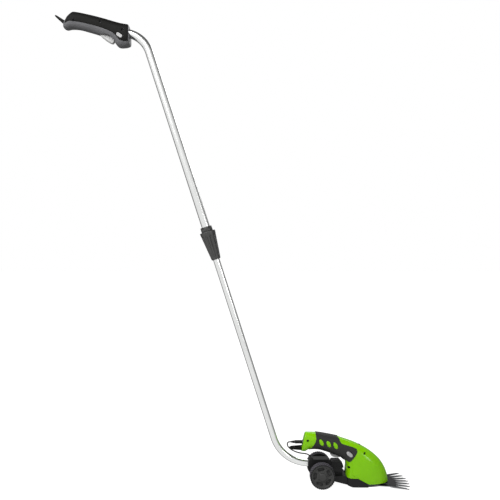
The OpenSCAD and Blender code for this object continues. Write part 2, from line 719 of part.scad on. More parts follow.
module shear_switch_place() {
    translate([unit_rear + 0.405 * unit_len, 0, 0.66 * unit_h]) rotate([0, shear_trigger_tilt, 0])
        children();
}
switch_rib_reach = 18;
module unit_half() {
    difference() {
        union() {
            shear_switch_place() switch_ribs(switch_rib_reach);
            difference() {
                half_solid(unit_rows, 0, 0, unit_ends);
                translate([0, over / 2, 0]) half_solid(unit_rows, shell_wall, unit_hollow_first,
                    unit_ends);
            }
            for (i = [0 : len(unit_screws) - 1]) let (p = unit_spot(unit_screws[i]))
                across(p[0], p[1], 0) cylinder(d = screw_boss_d,
                    h = unit_w / 2 * unit_screw_in_shares[i] + screw_head_h);
            across(shear_pivot[0], shear_pivot[1], -shear_slot_w / 2)
                cylinder(d = pivot_boss_d, h = unit_w / 2 * 0.34 - shear_slot_w / 2);
        }
        below_edge(0);
        shear_trigger_place() trigger_sweep(shear_trigger_len, shear_slot_w, trigger_roof);
        across(shear_pivot[0], shear_pivot[1], over)
            cylinder(d = pivot_d + 2 * seat_gap, h = shear_slot_w / 2 + pin_reach + over + seat_gap);
        for (s = unit_screws) let (p = unit_spot(s)) across(p[0], p[1], over)
            cylinder(d = screw_d + 2 * seat_gap, h = unit_w);
        lens_place() translate([0, 0, lens_proud - lens_h]) cylinder(d = lens_d + 2 * seat_gap,
            h = unit_h);
        socket_place() translate([0, 0, -unit_len]) cylinder(d = socket_d + 2 * seat_gap,
            h = unit_len + socket_len);
    }
}
module unit_near_pockets() {
    for (i = [0 : len(unit_screws) - 1]) let (p = unit_spot(unit_screws[i]))
        across(p[0], p[1], -unit_w / 2 * unit_screw_in_shares[i]) cylinder(d = screw_pocket_d,
            h = unit_w);
    shear_button_place() translate([0, button_h + button_travel + run_gap, 0]) button_hole(run_gap);
}
module shell_near() {
    color(green) difference() {
        unit_half();
        unit_near_pockets();
    }
}
module shell_far() {
    color(green) mirror([0, 1, 0]) unit_half();
}
module shell_screws() {
    color(steel) for (i = [0 : len(unit_screws) - 1])
        let (p = unit_spot(unit_screws[i]), h = unit_w / 2 * unit_screw_in_shares[i]) across(p[0],
            p[1], 0) {
            translate([0, 0, h]) cylinder(d = screw_head_d, h = screw_head_h);
            translate([0, 0, -h]) cylinder(d = screw_d, h = 2 * h);
        }
}

// Soft grip over each shell, with three windows
grip_starts = [1.9, 2, 2.15, 2.25, 2.3, 2.25, 2.1, 2, 2];
grip_ends = [6.3, 7.4, 7.75, 7.9, 7.7, 6.9, 5.6, 4.7, 4.3];
grip_spans = 20;
window_len = 17;
window_w = 9;
window_tilt = 62;
windows = [[0.2, 0.835], [0.283, 0.805], [0.365, 0.77]];
module grip_half() {
    difference() {
        skin(unit_rows, skin_low, skin_high, grip_starts, grip_ends, [0, 0], grip_spans);
        for (s = windows) let (p = unit_spot(s)) translate([p[0], 0, p[1]]) rotate([0, window_tilt, 0])
            rotate([90, 0, 0]) linear_extrude(unit_w) slot_shape(window_len, window_w);
        shear_trigger_place() trigger_sweep(shear_trigger_len, shear_slot_w, trigger_roof);
    }
}
module grip_near() {
    color(dark) difference() {
        grip_half();
        shear_button_place() translate([0, button_h, 0]) button_hole(run_gap);
    }
}
module grip_far() {
    color(dark) mirror([0, 1, 0]) grip_half();
}

// Floor of the hand unit with a skirt that stands in the shoe
shoe_wall = 2;
shoe_out = 0.2;
skirt_inset = shoe_wall - shoe_out + run_gap;
skirt_t = 2;
plate_inset = shell_wall + side_gap;
pivot_back = 78;
pivot_x = nose_x - pivot_back;
crank_reach = 40;
crank_x = pivot_x + crank_reach;
pad_d = 8;
pad_at = [30, 22];
post_d = 7;
gear_plate_lift = 13.5;
gear_plate_z = base_top + gear_plate_lift;
gear_plate_t = 2.5;
posts = [[-14, 18], [-14, -18], [-49, 17], [-49, -17]];
cam_d = 12;
cam_room = 1;
cam_throw = 2.6;
cam_hole_d = cam_d + 2 * cam_throw + 2 * cam_room;
pivot_pin_d = 6;
module front_of(x) {
    translate([x, -unit_w, -unit_h]) cube([unit_len, 2 * unit_w, 2 * unit_h]);
}
module base_cover() {
    color(black) difference() {
        union() {
            translate([0, 0, base_z]) linear_extrude(base_t) plan(plate_inset);
            difference() {
                translate([0, 0, skirt_low]) linear_extrude(rear_edge_z - skirt_low - run_gap)
                    difference() {
                        plan(skirt_inset);
                        plan(skirt_inset + skirt_t);
                    }
                front_of(step_x[1]);
                difference() {
                    front_of(step_x[0]);
                    below_edge(2 * run_gap);
                }
            }
            for (s = [-1, 1]) translate([pad_at[0], s * pad_at[1], comb_z + blade_t])
                cylinder(d = pad_d, h = base_z - comb_z - blade_t + over);
            for (p = posts) translate([nose_x + p[0] - post_d, p[1], base_z])
                cylinder(d = post_d, h = gear_plate_z - base_z);
        }
        translate([crank_x, 0, base_z - over]) cylinder(d = cam_hole_d, h = base_t + 2 * over);
        translate([pivot_x, 0, -over]) cylinder(d = pivot_pin_d + 2 * seat_gap, h = base_top + 2 * over);
    }
}

// Sole plate under the front of the hand unit
sole_start = 27;
sole_back = 6;
sole_end = nose_x - sole_back;
sole_inset = 2;
module sole_plate() {
    color(black) translate([0, 0, sole_lift]) linear_extrude(sole_t) intersection() {
        plan(sole_inset);
        translate([sole_start, -unit_w]) square([sole_end - sole_start, 2 * unit_w]);
    }
}

// Blades: combs cut from strip, fanned about the blade pivot
fan_half = asin(comb_w / 2 / tip_reach);
tooth_len = 33;
root_reach = tip_reach - tooth_len;
tooth_pitch = 2 * fan_half / (tooth_count - 1);
tooth_tip_w = 3;
tooth_root_w = 9;
knife_short = 6;
knife_tip_w = 1.6;
knife_root_w = 7.5;
web = 12;
module tooth(root_w, tip_w, reach) {
    linear_extrude(blade_t) polygon([[root_reach - web / 2, root_w / 2], [reach - tip_w / 2, tip_w / 2],
        [reach - tip_w / 2, -tip_w / 2], [root_reach - web / 2, -root_w / 2]]);
    translate([reach - tip_w / 2, 0, 0]) cylinder(d = tip_w, h = blade_t);
}
module fan(half, r1, r2) {
    rotate(-half) rotate_extrude(angle = 2 * half) translate([r1, 0]) square([r2 - r1, blade_t]);
}
comb_rear_half = 27;
comb_neck_x = 52;
module fixed_comb() {
    reach_x = root_reach * cos(fan_half);
    reach_y = root_reach * sin(fan_half);
    color(steel) translate([pivot_x, 0, comb_z]) difference() {
        union() {
            for (i = [0 : tooth_count - 1]) rotate(-fan_half + i * tooth_pitch)
                tooth(tooth_root_w, tooth_tip_w, tip_reach);
            fan(fan_half + tooth_pitch * 0.3, root_reach - web, root_reach);
            linear_extrude(blade_t) polygon([[-pivot_pin_d, comb_rear_half * 0.6],
                [pivot_pin_d, comb_rear_half], [comb_neck_x * 0.6, comb_rear_half],
                [reach_x - web * 0.8, reach_y * 0.9],
                [root_reach - web / 2, 0], [reach_x - web * 0.8, -reach_y * 0.9],
                [comb_neck_x * 0.6, -comb_rear_half], [pivot_pin_d, -comb_rear_half],
                [-pivot_pin_d, -comb_rear_half * 0.6]]);
        }
        translate([0, 0, -over]) cylinder(d = pivot_pin_d + 2 * seat_gap, h = blade_t + 2 * over);
    }
}
knife_hub_d = 20;
knife_arm_half = 13;
cam_slot = cam_d + 2 * cam_throw + cam_room;
knife_count = tooth_count;
module moving_knife() {
    flare_x = (root_reach - web * 0.8) * cos(fan_half * 0.6);
    flare_y = root_reach * sin(fan_half * 0.6);
    color(steel) translate([pivot_x, 0, knife_z]) difference() {
        union() {
            for (i = [0 : knife_count - 1]) rotate(-fan_half + i * tooth_pitch)
                tooth(knife_root_w, knife_tip_w, tip_reach - knife_short);
            fan(fan_half + tooth_pitch * 0.25, root_reach - web, root_reach - over);
            cylinder(d = knife_hub_d, h = blade_t);
            linear_extrude(blade_t) polygon([[0, knife_hub_d / 2], [crank_reach - cam_d, knife_arm_half],
                [crank_reach + cam_d, knife_arm_half], [flare_x, flare_y], [root_reach - web * 0.8, 0],
                [flare_x, -flare_y], [crank_reach + cam_d, -knife_arm_half],
                [crank_reach - cam_d, -knife_arm_half], [0, -knife_hub_d / 2]]);
        }
        translate([0, 0, -over]) cylinder(d = pivot_pin_d + 2 * seat_gap, h = blade_t + 2 * over);
        translate([crank_reach, 0, -over]) linear_extrude(blade_t + 2 * over)
            slot_shape(cam_slot, cam_d + 2 * run_gap);
    }
}
pivot_head_d = 11;
module blade_pivot() {
    color(steel) translate([pivot_x, 0, comb_z - stack_gap - sole_t / 2]) {
        cylinder(d = pivot_head_d, h = sole_t / 2);
        cylinder(d = pivot_pin_d, h = base_top + sole_t - comb_z + stack_gap);
    }
}

// Gear train: motor pinion and crank gear with its cam
gear_module = 0.8;
crank_teeth = 40;
pinion_teeth = 10;
crank_pitch_r = crank_teeth * gear_module / 2;
pinion_pitch_r = pinion_teeth * gear_module / 2;
gear_centres = crank_pitch_r + pinion_pitch_r;
motor_x = crank_x - gear_centres;
gear_lift = 4.5;
gear_z = base_top + gear_lift;
gear_t = 6;
tooth_high = 0.6 * gear_module;
tooth_low = 1.15 * gear_module;
// Half widths of a gear tooth at root, pitch line and tip as shares of the tooth spacing
flank_shares = [0.31, 0.2, 0.08];
module gear_plan(teeth, r) {
    step = 360 / teeth;
    levels = [r - tooth_low, r, r + tooth_high];
    function at(k, deg) = levels[k] * [cos(deg), sin(deg)];
    polygon([for (i = [0 : teeth - 1], s = [-1, 1], k = [0 : 2])
        let (m = s < 0 ? k : 2 - k) at(m, (i + s * flank_shares[m]) * step)]);
}
stub_d = 5;
stub_depth = 9;
module crank_gear() {
    color(pale) translate([crank_x, 0, 0]) difference() {
        union() {
            translate([0, 0, gear_z]) rotate(180) linear_extrude(gear_t)
                gear_plan(crank_teeth, crank_pitch_r);
            translate([cam_throw, 0, base_z + stack_gap]) cylinder(d = cam_d, h = gear_z - base_z);
        }
        translate([0, 0, gear_z + gear_t - stub_depth]) cylinder(d = stub_d + 2 * seat_gap,
            h = stub_depth + over);
    }
}
module crank_stub() {
    color(steel) translate([crank_x, 0, gear_z + gear_t - stub_depth + run_gap])
        cylinder(d = stub_d, h = gear_plate_z + gear_plate_t - gear_z - gear_t + stub_depth - run_gap);
}
pinion_bore_d = 2;
shaft_in = 1.2;
module pinion() {
    color(brass) translate([motor_x, 0, gear_z - side_gap]) rotate(180 / pinion_teeth) {
        linear_extrude(gear_t + 2 * side_gap) gear_plan(pinion_teeth, pinion_pitch_r);
        cylinder(d = pinion_bore_d, h = gear_plate_z + gear_plate_t - gear_z + side_gap
            + shaft_in);
    }
}
pinion_hole_d = 6;
plate_back = [17, 74];
plate_front = nose_x - plate_back[0];
plate_rear = nose_x - plate_back[1];
plate_half = 15;
lug_wall = 1;
module gear_plate() {
    w = plate_half;
    color(alu) translate([0, 0, gear_plate_z]) linear_extrude(gear_plate_t) difference() {
        union() {
            translate([plate_rear, -w]) square([plate_front - plate_rear, 2 * w]);
            for (p = posts) translate([nose_x + p[0] - post_d, p[1]]) circle(d = post_d + 2 * lug_wall);
        }
        translate([motor_x, 0]) circle(d = pinion_hole_d);
        translate([crank_x, 0]) circle(d = stub_d + 2 * seat_gap);
    }
}
motor_d = 27.6;
motor_h = 37;
motor_nose_d = 10;
motor_nose_h = 2;
module motor_can() {
    color(steel) translate([motor_x, 0, gear_plate_z + gear_plate_t]) difference() {
        union() {
            cylinder(d = motor_d, h = motor_h);
            translate([0, 0, motor_h]) cylinder(d = motor_nose_d, h = motor_nose_h);
        }
        translate([0, 0, -over]) cylinder(d = pinion_bore_d + 2 * run_gap, h = over + 2 * shaft_in);
    }
}

// Cell, switch and board inside the grip
cell_d = 18.4;
cell_len = 0.3 * unit_len;
cell_gap = 1.5;
cell_at = [unit_spot(unit_screws[0])[0] + screw_boss_d / 2 + cell_gap, 0.846 * unit_h];
cell_tilt = 8;
module battery_cell() {
    color(board) translate([cell_at[0], 0, cell_at[1]]) rotate([0, 90 + cell_tilt, 0])
        cylinder(d = cell_d, h = cell_len);
}
module shear_switch() {
    color(black) shear_switch_place() switch_solid();
}
// The control board stands on the rear of the motor
board_size = [30, 1.6, 10];
board_back = 12;
board_tilt = 12;
module control_board() {
    color(board) translate([motor_x - board_back, board_size[2] / 2,
        gear_plate_z + gear_plate_t + motor_h + seat_gap])
        rotate([0, board_tilt, 0]) translate([-board_size[0], 0, 0]) cube(board_size);
}

// Shoe: cup for the foot of the hand unit, ramp and latch tower
ramp_in = 13.408;
shoe_back = 37.592;
ramp_start = foot_rear + ramp_in;
shoe_rear = foot_rear - shoe_back;
ramp_rise = 13;
tail_step = 2;
tail_half = carriage_half - tail_step;
tail_top = 24;
tail_in = 8;
shoe_front = 25;
tower_back = [33.592, 8.092];
tower_x = [foot_rear - tower_back[0], foot_rear - tower_back[1]];
tower_half = 11;
tower_top = 0.389 * unit_h;
module block(x, half, z0, z1) {
    translate([x[0], -half, z0]) cube([x[1] - x[0], 2 * half, z1 - z0]);
}
module shoe() {
    color(black) difference() {
        union() {
            linear_extrude(shoe_floor_t) intersection() {
                plan(-shoe_out);
                translate([unit_rear, -unit_w]) square([shoe_front - unit_rear, 2 * unit_w]);
            }
            difference() {
                linear_extrude(rear_edge_z) difference() {
                    plan(-shoe_out);
                    plan(shoe_wall - shoe_out);
                }
                front_of(step_x[2]);
                difference() {
                    translate([unit_rear * 2, -unit_w, 0]) cube([unit_len * 4, 2 * unit_w, unit_h]);
                    below_edge(run_gap);
                }
            }
            difference() {
                block([shoe_rear, unit_rear + inner_x_shares[unit_ends] * unit_len + tail_in],
                    tail_half, 0, tail_top);
                translate([0, 0, -over]) linear_extrude(unit_h) plan(shoe_wall / 2 - shoe_out);
                translate([0, 0, rear_edge_z - run_gap]) linear_extrude(unit_h) plan(-shell_wall / 2);
            }
            block(tower_x, tower_half, tail_top - over, tower_top);
        }
        translate([pivot_x, 0, -over]) cylinder(d = pivot_head_d + 2 * over, h = shoe_floor_t + 2 * over);
        side_plate([[ramp_start, 0], [shoe_rear - over, ramp_rise], [shoe_rear - over, -over],
            [ramp_start, -over]], unit_w);
    }
}

// Release button: a ribbed cap over the latch tower
cap_wall = 1.9;
cap_x = tower_x + (cap_wall + side_gap) * [-1, 1];
cap_half = tower_half + cap_wall + side_gap;
cap_low = 0.3254 * unit_h;
cap_top = 0.4484 * unit_h;
cap_chamfer = 9;
cap_roof = 3.4;
cap_round = 2;
rib_pitch = 3.2;
rib_w = 1.5;
rib_depth = 0.9;
rib_count = 4;
cap_travel = 3.5;
release_spring_r = 5;
release_turns = 2;
module release_spring() {
    color(steel) translate([(tower_x[0] + tower_x[1]) / 2, 0, tower_top]) coil(release_spring_r,
        spring_wire, cap_travel, release_turns);
}
module release_button() {
    color(black) difference() {
        side_plate([[cap_x[0], cap_low], [cap_x[0], cap_top - cap_round], [cap_x[0] + cap_round, cap_top],
            [cap_x[1] - cap_chamfer, cap_top], [cap_x[1] - cap_wall / 2, cap_top - cap_chamfer],
            [cap_x[1], cap_low]], cap_half);
        block(tower_x + side_gap * [-1, 1], tower_half + side_gap, cap_low - over, tower_top + cap_travel
            + side_gap);
        for (s = [-1, 1], i = [0 : rib_count - 1])
            translate([cap_x[0] - over, s * cap_half - rib_depth, cap_low + cap_round + i * rib_pitch])
                cube([cap_x[1] - cap_x[0] + 2 * over, 2 * rib_depth, rib_w]);
        for (i = [-rib_count / 2 : rib_count / 2])
            translate([cap_x[0] - over, i * rib_pitch * 1.5 - rib_w / 2, cap_top - rib_depth])
                cube([cap_x[1] - cap_x[0] + 2 * over, rib_w, 2 * rib_depth]);
    }
}

// Carriage halves clamp the tube and the axle between the wheels
carriage_back = 32;
carriage_lift = 30;
carriage_rear = axle_x - carriage_back;
carriage_top = axle_z + carriage_lift;
spine_half = 12;
spine_round = 5;
spine_drop = 11;
spine_foot = 16;
spine_pts = [[carriage_rear, mouth[1] - spine_drop], [carriage_rear, carriage_top - spine_round],
    [carriage_rear + spine_round, carriage_top], [shoe_rear - spine_round, carriage_top],
    [shoe_rear, carriage_top - spine_round], [shoe_rear, axle_z], [axle_x, axle_z],
    [axle_x - spine_foot, axle_z]];
block_r = 18;
block_shares = [[0.56, -0.78], [-0.44, -0.78], [-1, -0.39], [-1, 0.44], [-0.67, 0.78]];
block_pts = concat([for (b = block_shares) [axle_x + b[0] * block_r, axle_z + b[1] * block_r]],
    [[shoe_rear, axle_z + block_shares[4][1] * block_r], [shoe_rear, ramp_rise + over]]);
carriage_wall = 3;
belly_x = [axle_x + axle_d + carriage_wall, shoe_rear - carriage_wall];
gland_back = 23;
gland_side = 6.5;
gland_at = [axle_x - gland_back, -gland_side];
gland_tilt = -30;
gland_d = 8;
gland_h = 9;
gland_out = 5.5;
lead_d = 3;
module gland_place() {
    translate([gland_at[0], gland_at[1], carriage_top]) rotate([0, gland_tilt, 0])
        translate([0, 0, gland_out - gland_h]) children();
}
module carriage_half_solid() {
    difference() {
        rotate([90, 0, 0]) {
            linear_extrude(spine_half) polygon(spine_pts);
            linear_extrude(carriage_half) polygon(block_pts);
        }
        translate([belly_x[0], carriage_wall - carriage_half, 0]) cube([belly_x[1] - belly_x[0],
            carriage_half - 2 * carriage_wall, axle_z]);
        heading(mouth, -entry_tilt) translate([0, 0, -entry_run])
            cylinder(d = lower_tube_d + 2 * seat_gap, h = entry_run + tube_insert);
        across(axle_x, axle_z, over) cylinder(d = axle_d + 2 * seat_gap, h = carriage_w);
    }
}
module carriage_near() {
    color(black) difference() {
        carriage_half_solid();
        gland_place() cylinder(d = gland_d + 2 * seat_gap, h = carriage_w);
    }
}
module carriage_far() {
    color(black) mirror([0, 1, 0]) carriage_half_solid();
}
clip_d = 12;
clip_t = 1;
clip_gap = 0.3;
module axle() {
    half = wheel_out - clip_t;
    color(steel) across(axle_x, axle_z, half) cylinder(d = axle_d, h = 2 * half);
}
module axle_clips() {
    color(steel) for (s = [0, 1]) mirror([0, s, 0])
        across(axle_x, axle_z, hub_step - wheel_out - clip_gap) pipe(clip_d, axle_d + 2 * seat_gap, clip_t);
}

// Wheels: rim with five windows, tyre and hub cap
hub_d = 15;
hub_step = 4;
tyre_t = 3.6;
tyre_edge = 1.6;
rim_wall = 2.4;
rim_flare = 1;
cap_seat_wall = 2;
web_t = 3;
window_r = 18;
wheel_window_w = 7.5;
wheel_window_len = 17;
wheel_windows = 5;
first_window = 30;
groove_w = 2.4;
groove_d = 1;
rim_r = wheel_d / 2 - tyre_t;
module wheel_place(s) {
    translate([axle_x, s * wheel_in, axle_z]) rotate([-90 * s, 0, 0]) children();
}
module rim_solid() {
    bore = axle_d / 2 + seat_gap;
    w = wheel_w;
    cap = cap_r + seat_gap;
    web_low = w - hub_step - web_t;
    difference() {
        rotate_extrude() polygon([[bore, 0], [hub_d / 2, 0], [hub_d / 2, web_low],
            [rim_r - rim_wall, web_low], [rim_r - rim_wall, 0], [rim_r, 0], [rim_r, w],
            [rim_r - rim_wall, w],
            [rim_r - rim_wall - rim_flare, w - hub_step / 2],
            [cap + cap_seat_wall + rim_flare, w - hub_step / 2], [cap + cap_seat_wall, w], [cap, w],
            [cap, w - hub_step], [bore, w - hub_step]]);
        for (i = [0 : wheel_windows - 1]) rotate(first_window + i * 360 / wheel_windows)
            translate([0, 0, web_low - over]) linear_extrude(web_t + hub_step + 2 * over) window_plan();
    }
}
module window_plan() {
    translate([window_r, 0]) rotate(90) slot_shape(wheel_window_len, wheel_window_w);
}
module tyre_solid() {
    r = wheel_d / 2;
    s = tyre_edge;
    rotate_extrude() polygon([[rim_r, 0], [r - s, 0], [r, s], [r, wheel_w / 3 - groove_w / 2],
        [r - groove_d, wheel_w / 3 - groove_w / 2], [r - groove_d, wheel_w / 3 + groove_w / 2],
        [r, wheel_w / 3 + groove_w / 2], [r, wheel_w * 2 / 3 - groove_w / 2],
        [r - groove_d, wheel_w * 2 / 3 - groove_w / 2], [r - groove_d, wheel_w * 2 / 3 + groove_w / 2],
        [r, wheel_w * 2 / 3 + groove_w / 2], [r, wheel_w - s], [r - s, wheel_w], [rim_r, wheel_w]]);
}
cap_r = 9.5;
cap_t = 2.2;
cap_sink = 0.6;
cap_dome = 0.4;
cap_edge = 1.5;
module cap_solid() {
    top = wheel_w + cap_t - cap_sink;
    rotate_extrude() polygon([[0, wheel_w - cap_sink], [cap_r, wheel_w - cap_sink], [cap_r, top - cap_edge],
        [cap_r - cap_edge, top], [0, top + cap_dome]]);
}
module wheel_near_rim() {
    color(dark) wheel_place(-1) rim_solid();
}
module wheel_near_tyre() {
    color(rubber) wheel_place(-1) tyre_solid();
}
module wheel_near_cap() {
    color(dark) wheel_place(-1) cap_solid();
}
module wheel_far_rim() {
    color(dark) wheel_place(1) rim_solid();
}
module wheel_far_tyre() {
    color(rubber) wheel_place(1) tyre_solid();
}
module wheel_far_cap() {
    color(dark) wheel_place(1) cap_solid();
}

// Control lead: gland, free cord and plug
module lead_gland() {
    color(rubber) gland_place() cylinder(d = gland_d, h = gland_h);
}
plug_len = 28;
plug_d = 8.6;
tail_len = 10;
tail_d = 4.6;
module lead_plug() {
    color(black) socket_place() mirror([0, 0, 1]) {
        cylinder(d = plug_d, h = plug_len - tail_len);
        translate([0, 0, plug_len - tail_len]) cylinder(d1 = plug_d - over, d2 = tail_d, h = tail_len);
        translate([0, 0, -jack_len]) cylinder(d = jack_d, h = jack_len);
    }
}
cord_start = [gland_at[0] + gland_out * sin(gland_tilt), gland_at[1],
    carriage_top + gland_out * cos(gland_tilt)];
cord_end = [socket_face - plug_len, 0, socket_z];
// Waypoints of the free cord between gland and plug, as bows off the straight line between them
cord_bows = [
    [-0.05, -1.20, 2.00], [-1.35, -3.10, 2.47], [-4.65, -5.00, 1.54], [-8.45, -6.50, 0.00],
    [-12.74, -8.00, -0.73], [-17.04, -9.00, -0.46], [-20.34, -9.50, 0.40], [-22.64, -9.00, 1.67],
    [-22.94, -6.80, 3.13], [-20.24, -3.90, 4.40], [-15.04, -1.40, 4.37], [-8.34, -0.10, 2.53]];
cord_last = len(cord_bows) + 1;
cord_mid = [for (i = [0 : len(cord_bows) - 1])
    cord_start + (cord_end - cord_start) * (i + 1) / cord_last + cord_bows[i]];
cord_path = concat([cord_start], cord_mid, [cord_end]);
cord_sides = 8;
function unit(v) = v / norm(v);
function cord_way(i) = i == 0 ? [sin(gland_tilt), 0, cos(gland_tilt)]
    : i == len(cord_path) - 1 ? [1, 0, 0] : unit(cord_path[i + 1] - cord_path[i - 1]);
function cord_ring(i) =
    let (w = cord_way(i), a = unit(cross(w, [0.2, 1, 0.1])), b = cross(w, a))
    [for (k = [0 : cord_sides - 1]) cord_path[i]
        + lead_d / 2 * (cos(360 * k / cord_sides) * a + sin(360 * k / cord_sides) * b)];
module control_cord() {
    color(rubber) ring_loft([for (i = [0 : len(cord_path) - 1]) cord_ring(i)]);
}

upper_tube();
collar_collet();
collar_nut();
lower_tube();
guide_bush();
pole_handle_near();
pole_handle_far();
pole_cover_near();
pole_cover_far();
pole_hang_loop();
handle_screws();
pole_trigger();
pole_trigger_pin();
pole_lock_button();
pole_switch();
shell_near();
shell_far();
grip_near();
grip_far();
shell_screws();
shear_trigger();
shear_trigger_pin();
shear_lock_button();
status_lens();
charge_socket();
shear_hang_loop();
base_cover();
sole_plate();
fixed_comb();
moving_knife();
blade_pivot();
crank_gear();
crank_stub();
pinion();
gear_plate();
motor_can();
battery_cell();
shear_switch();
control_board();
shoe();
release_button();
release_spring();
pole_trigger_spring();
shear_trigger_spring();
carriage_near();
carriage_far();
axle();
axle_clips();
wheel_near_rim();
wheel_near_tyre();
wheel_near_cap();
wheel_far_rim();
wheel_far_tyre();
wheel_far_cap();
lead_gland();
lead_plug();
control_cord();
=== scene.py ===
import math

import bpy
import numpy as np
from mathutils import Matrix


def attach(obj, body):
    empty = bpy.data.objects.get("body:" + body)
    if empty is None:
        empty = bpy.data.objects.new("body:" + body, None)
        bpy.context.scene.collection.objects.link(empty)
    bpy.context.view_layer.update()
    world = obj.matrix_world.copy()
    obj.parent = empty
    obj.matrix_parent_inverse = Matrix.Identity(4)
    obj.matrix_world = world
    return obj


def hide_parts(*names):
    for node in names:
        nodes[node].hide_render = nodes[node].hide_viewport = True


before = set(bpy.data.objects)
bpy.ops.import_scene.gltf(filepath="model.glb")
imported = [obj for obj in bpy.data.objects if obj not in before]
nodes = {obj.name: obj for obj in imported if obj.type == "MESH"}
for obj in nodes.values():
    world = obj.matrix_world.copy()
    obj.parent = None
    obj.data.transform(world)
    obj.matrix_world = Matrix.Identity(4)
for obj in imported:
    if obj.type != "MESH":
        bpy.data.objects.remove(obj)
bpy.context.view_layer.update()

# Camera and studio. The tool stands on a pale board in front of a white wall, seen square from its side
# with the lens at a little under half its height, under a large soft box and plain white bounce.
camera_mm = (-257.0, -1462.0, 580.0)
focal_px, frame_px, sensor_mm, view_far_m = 585.0, 500.0, 36.0, 100.0
camera = bpy.data.objects.new("camera", bpy.data.cameras.new("camera"))
camera.data.sensor_width = sensor_mm
camera.data.lens = focal_px / frame_px * sensor_mm
camera.data.clip_end = view_far_m
camera.location = [c / 1000 for c in camera_mm]
camera.rotation_euler = (math.radians(90), 0, 0)
bpy.context.collection.objects.link(camera)
bpy.context.scene.camera = camera
bpy.context.scene.view_settings.view_transform = "Standard"


def linear(code):
    """An sRGB hex colour as linear red, green, blue and alpha."""
    c = np.array([int(code[i:i + 2], 16) for i in (1, 3, 5)]) / 255
    return (*np.where(c <= 0.04045, c / 12.92, ((c + 0.055) / 1.055) ** 2.4), 1.0)


def add(tree, kind, inputs=None, **settings):
    """Adds one node. Its settings are properties; its inputs are values, or the sockets linked to it."""
    node = tree.nodes.new(kind)
    for key, value in settings.items():
        setattr(node, key, value)
    for key, value in (inputs or {}).items():
        if isinstance(value, bpy.types.NodeSocket):
            tree.links.new(value, node.inputs[key])
        else:
            node.inputs[key].default_value = value
    return node


def blank(name):
    """An empty node material, its tree, and the coordinates of the piece that wears it."""
    material = bpy.data.materials.new(name)
    material.use_nodes = True
    tree = material.node_tree
    tree.nodes.clear()
    return material, tree, add(tree, "ShaderNodeTexCoord").outputs["Object"]


wall_strength, bounce_strength = 1.0, 0.36
world = bpy.data.worlds.new("white studio")
world.use_nodes = True
tree = world.node_tree
tree.nodes.clear()
rays = add(tree, "ShaderNodeLightPath")
seen = add(tree, "ShaderNodeMath", {
    0: rays.outputs["Is Camera Ray"], 1: rays.outputs["Is Glossy Ray"]}, operation="MAXIMUM")
seen = add(tree, "ShaderNodeMath", {
    0: seen.outputs[0], 1: rays.outputs["Is Transmission Ray"]}, operation="MAXIMUM")
# Flags that only glossy surfaces mirror: a broad one on the right, a narrow one behind on the left and a dim
# ceiling. Each darkens along its way from low to high, and from front to back between two values of Y.
aim = add(tree, "ShaderNodeTexCoord").outputs["Generated"]
back = add(tree, "ShaderNodeSeparateXYZ", {"Vector": aim}).outputs["Y"]
dark = 0.0
for way, low, high, y_low, y_high, depth in (((0.75, 0, 0.66), 0.05, 0.3, -0.8, 0.0, 0.72),
                                             ((-0.75, 0, -0.66), 0.05, 0.3, 0.05, 0.4, 0.84),
                                             ((0, 0, 1), 0.35, 0.65, -0.9, -0.4, 0.88)):
    lean = add(tree, "ShaderNodeVectorMath", {0: aim, 1: way}, operation="DOT_PRODUCT").outputs["Value"]
    wide = add(tree, "ShaderNodeMapRange", {
        "Value": lean, "From Min": low, "From Max": high, "To Max": depth}).outputs[0]
    deep = add(tree, "ShaderNodeMapRange", {"Value": back, "From Min": y_low, "From Max": y_high}).outputs[0]
    flag = add(tree, "ShaderNodeMath", {0: wide, 1: deep}, operation="MULTIPLY").outputs[0]
    dark = add(tree, "ShaderNodeMath", {0: dark, 1: flag}, operation="MAXIMUM").outputs[0]
dark = add(tree, "ShaderNodeMath", {
    0: dark, 1: rays.outputs["Is Glossy Ray"]}, operation="MULTIPLY").outputs[0]
shade = add(tree, "ShaderNodeMix", {
    "Factor": dark, "A": linear("#FFFFFF"), "B": linear("#000000")}, data_type="RGBA")
wall = add(tree, "ShaderNodeBackground", {"Color": shade.outputs["Result"], "Strength": wall_strength})
bounce = add(tree, "ShaderNodeBackground", {"Color": linear("#FAFBFF"), "Strength": bounce_strength})
both = add(tree, "ShaderNodeMixShader", {0: seen.outputs[0], 1: bounce.outputs[0], 2: wall.outputs[0]})
add(tree, "ShaderNodeOutputWorld", {"Surface": both.outputs[0]})
bpy.context.scene.world = world

lamp_aim = np.array((-0.25, 0.0, 0.35))
for name, place, size, watts in (("soft box", (-1.5, -1.7, 2.3), 1.6, 78.0),
                                 ("small lamp", (1.5, -1.5, 1.1), 0.45, 5.0),
                                 ("back light", (0.6, 1.6, 1.9), 1.2, 14.0)):
    lamp = bpy.data.objects.new(name, bpy.data.lights.new(name, "AREA"))
    lamp.data.size, lamp.data.energy = size, watts
    lamp.location = place
    away = np.array(place) - lamp_aim
    flat = math.hypot(away[0], away[1])
    lamp.rotation_euler = (math.atan2(flat, away[2]), 0, math.atan2(away[1], away[0]) + math.pi / 2)
    bpy.context.collection.objects.link(lamp)

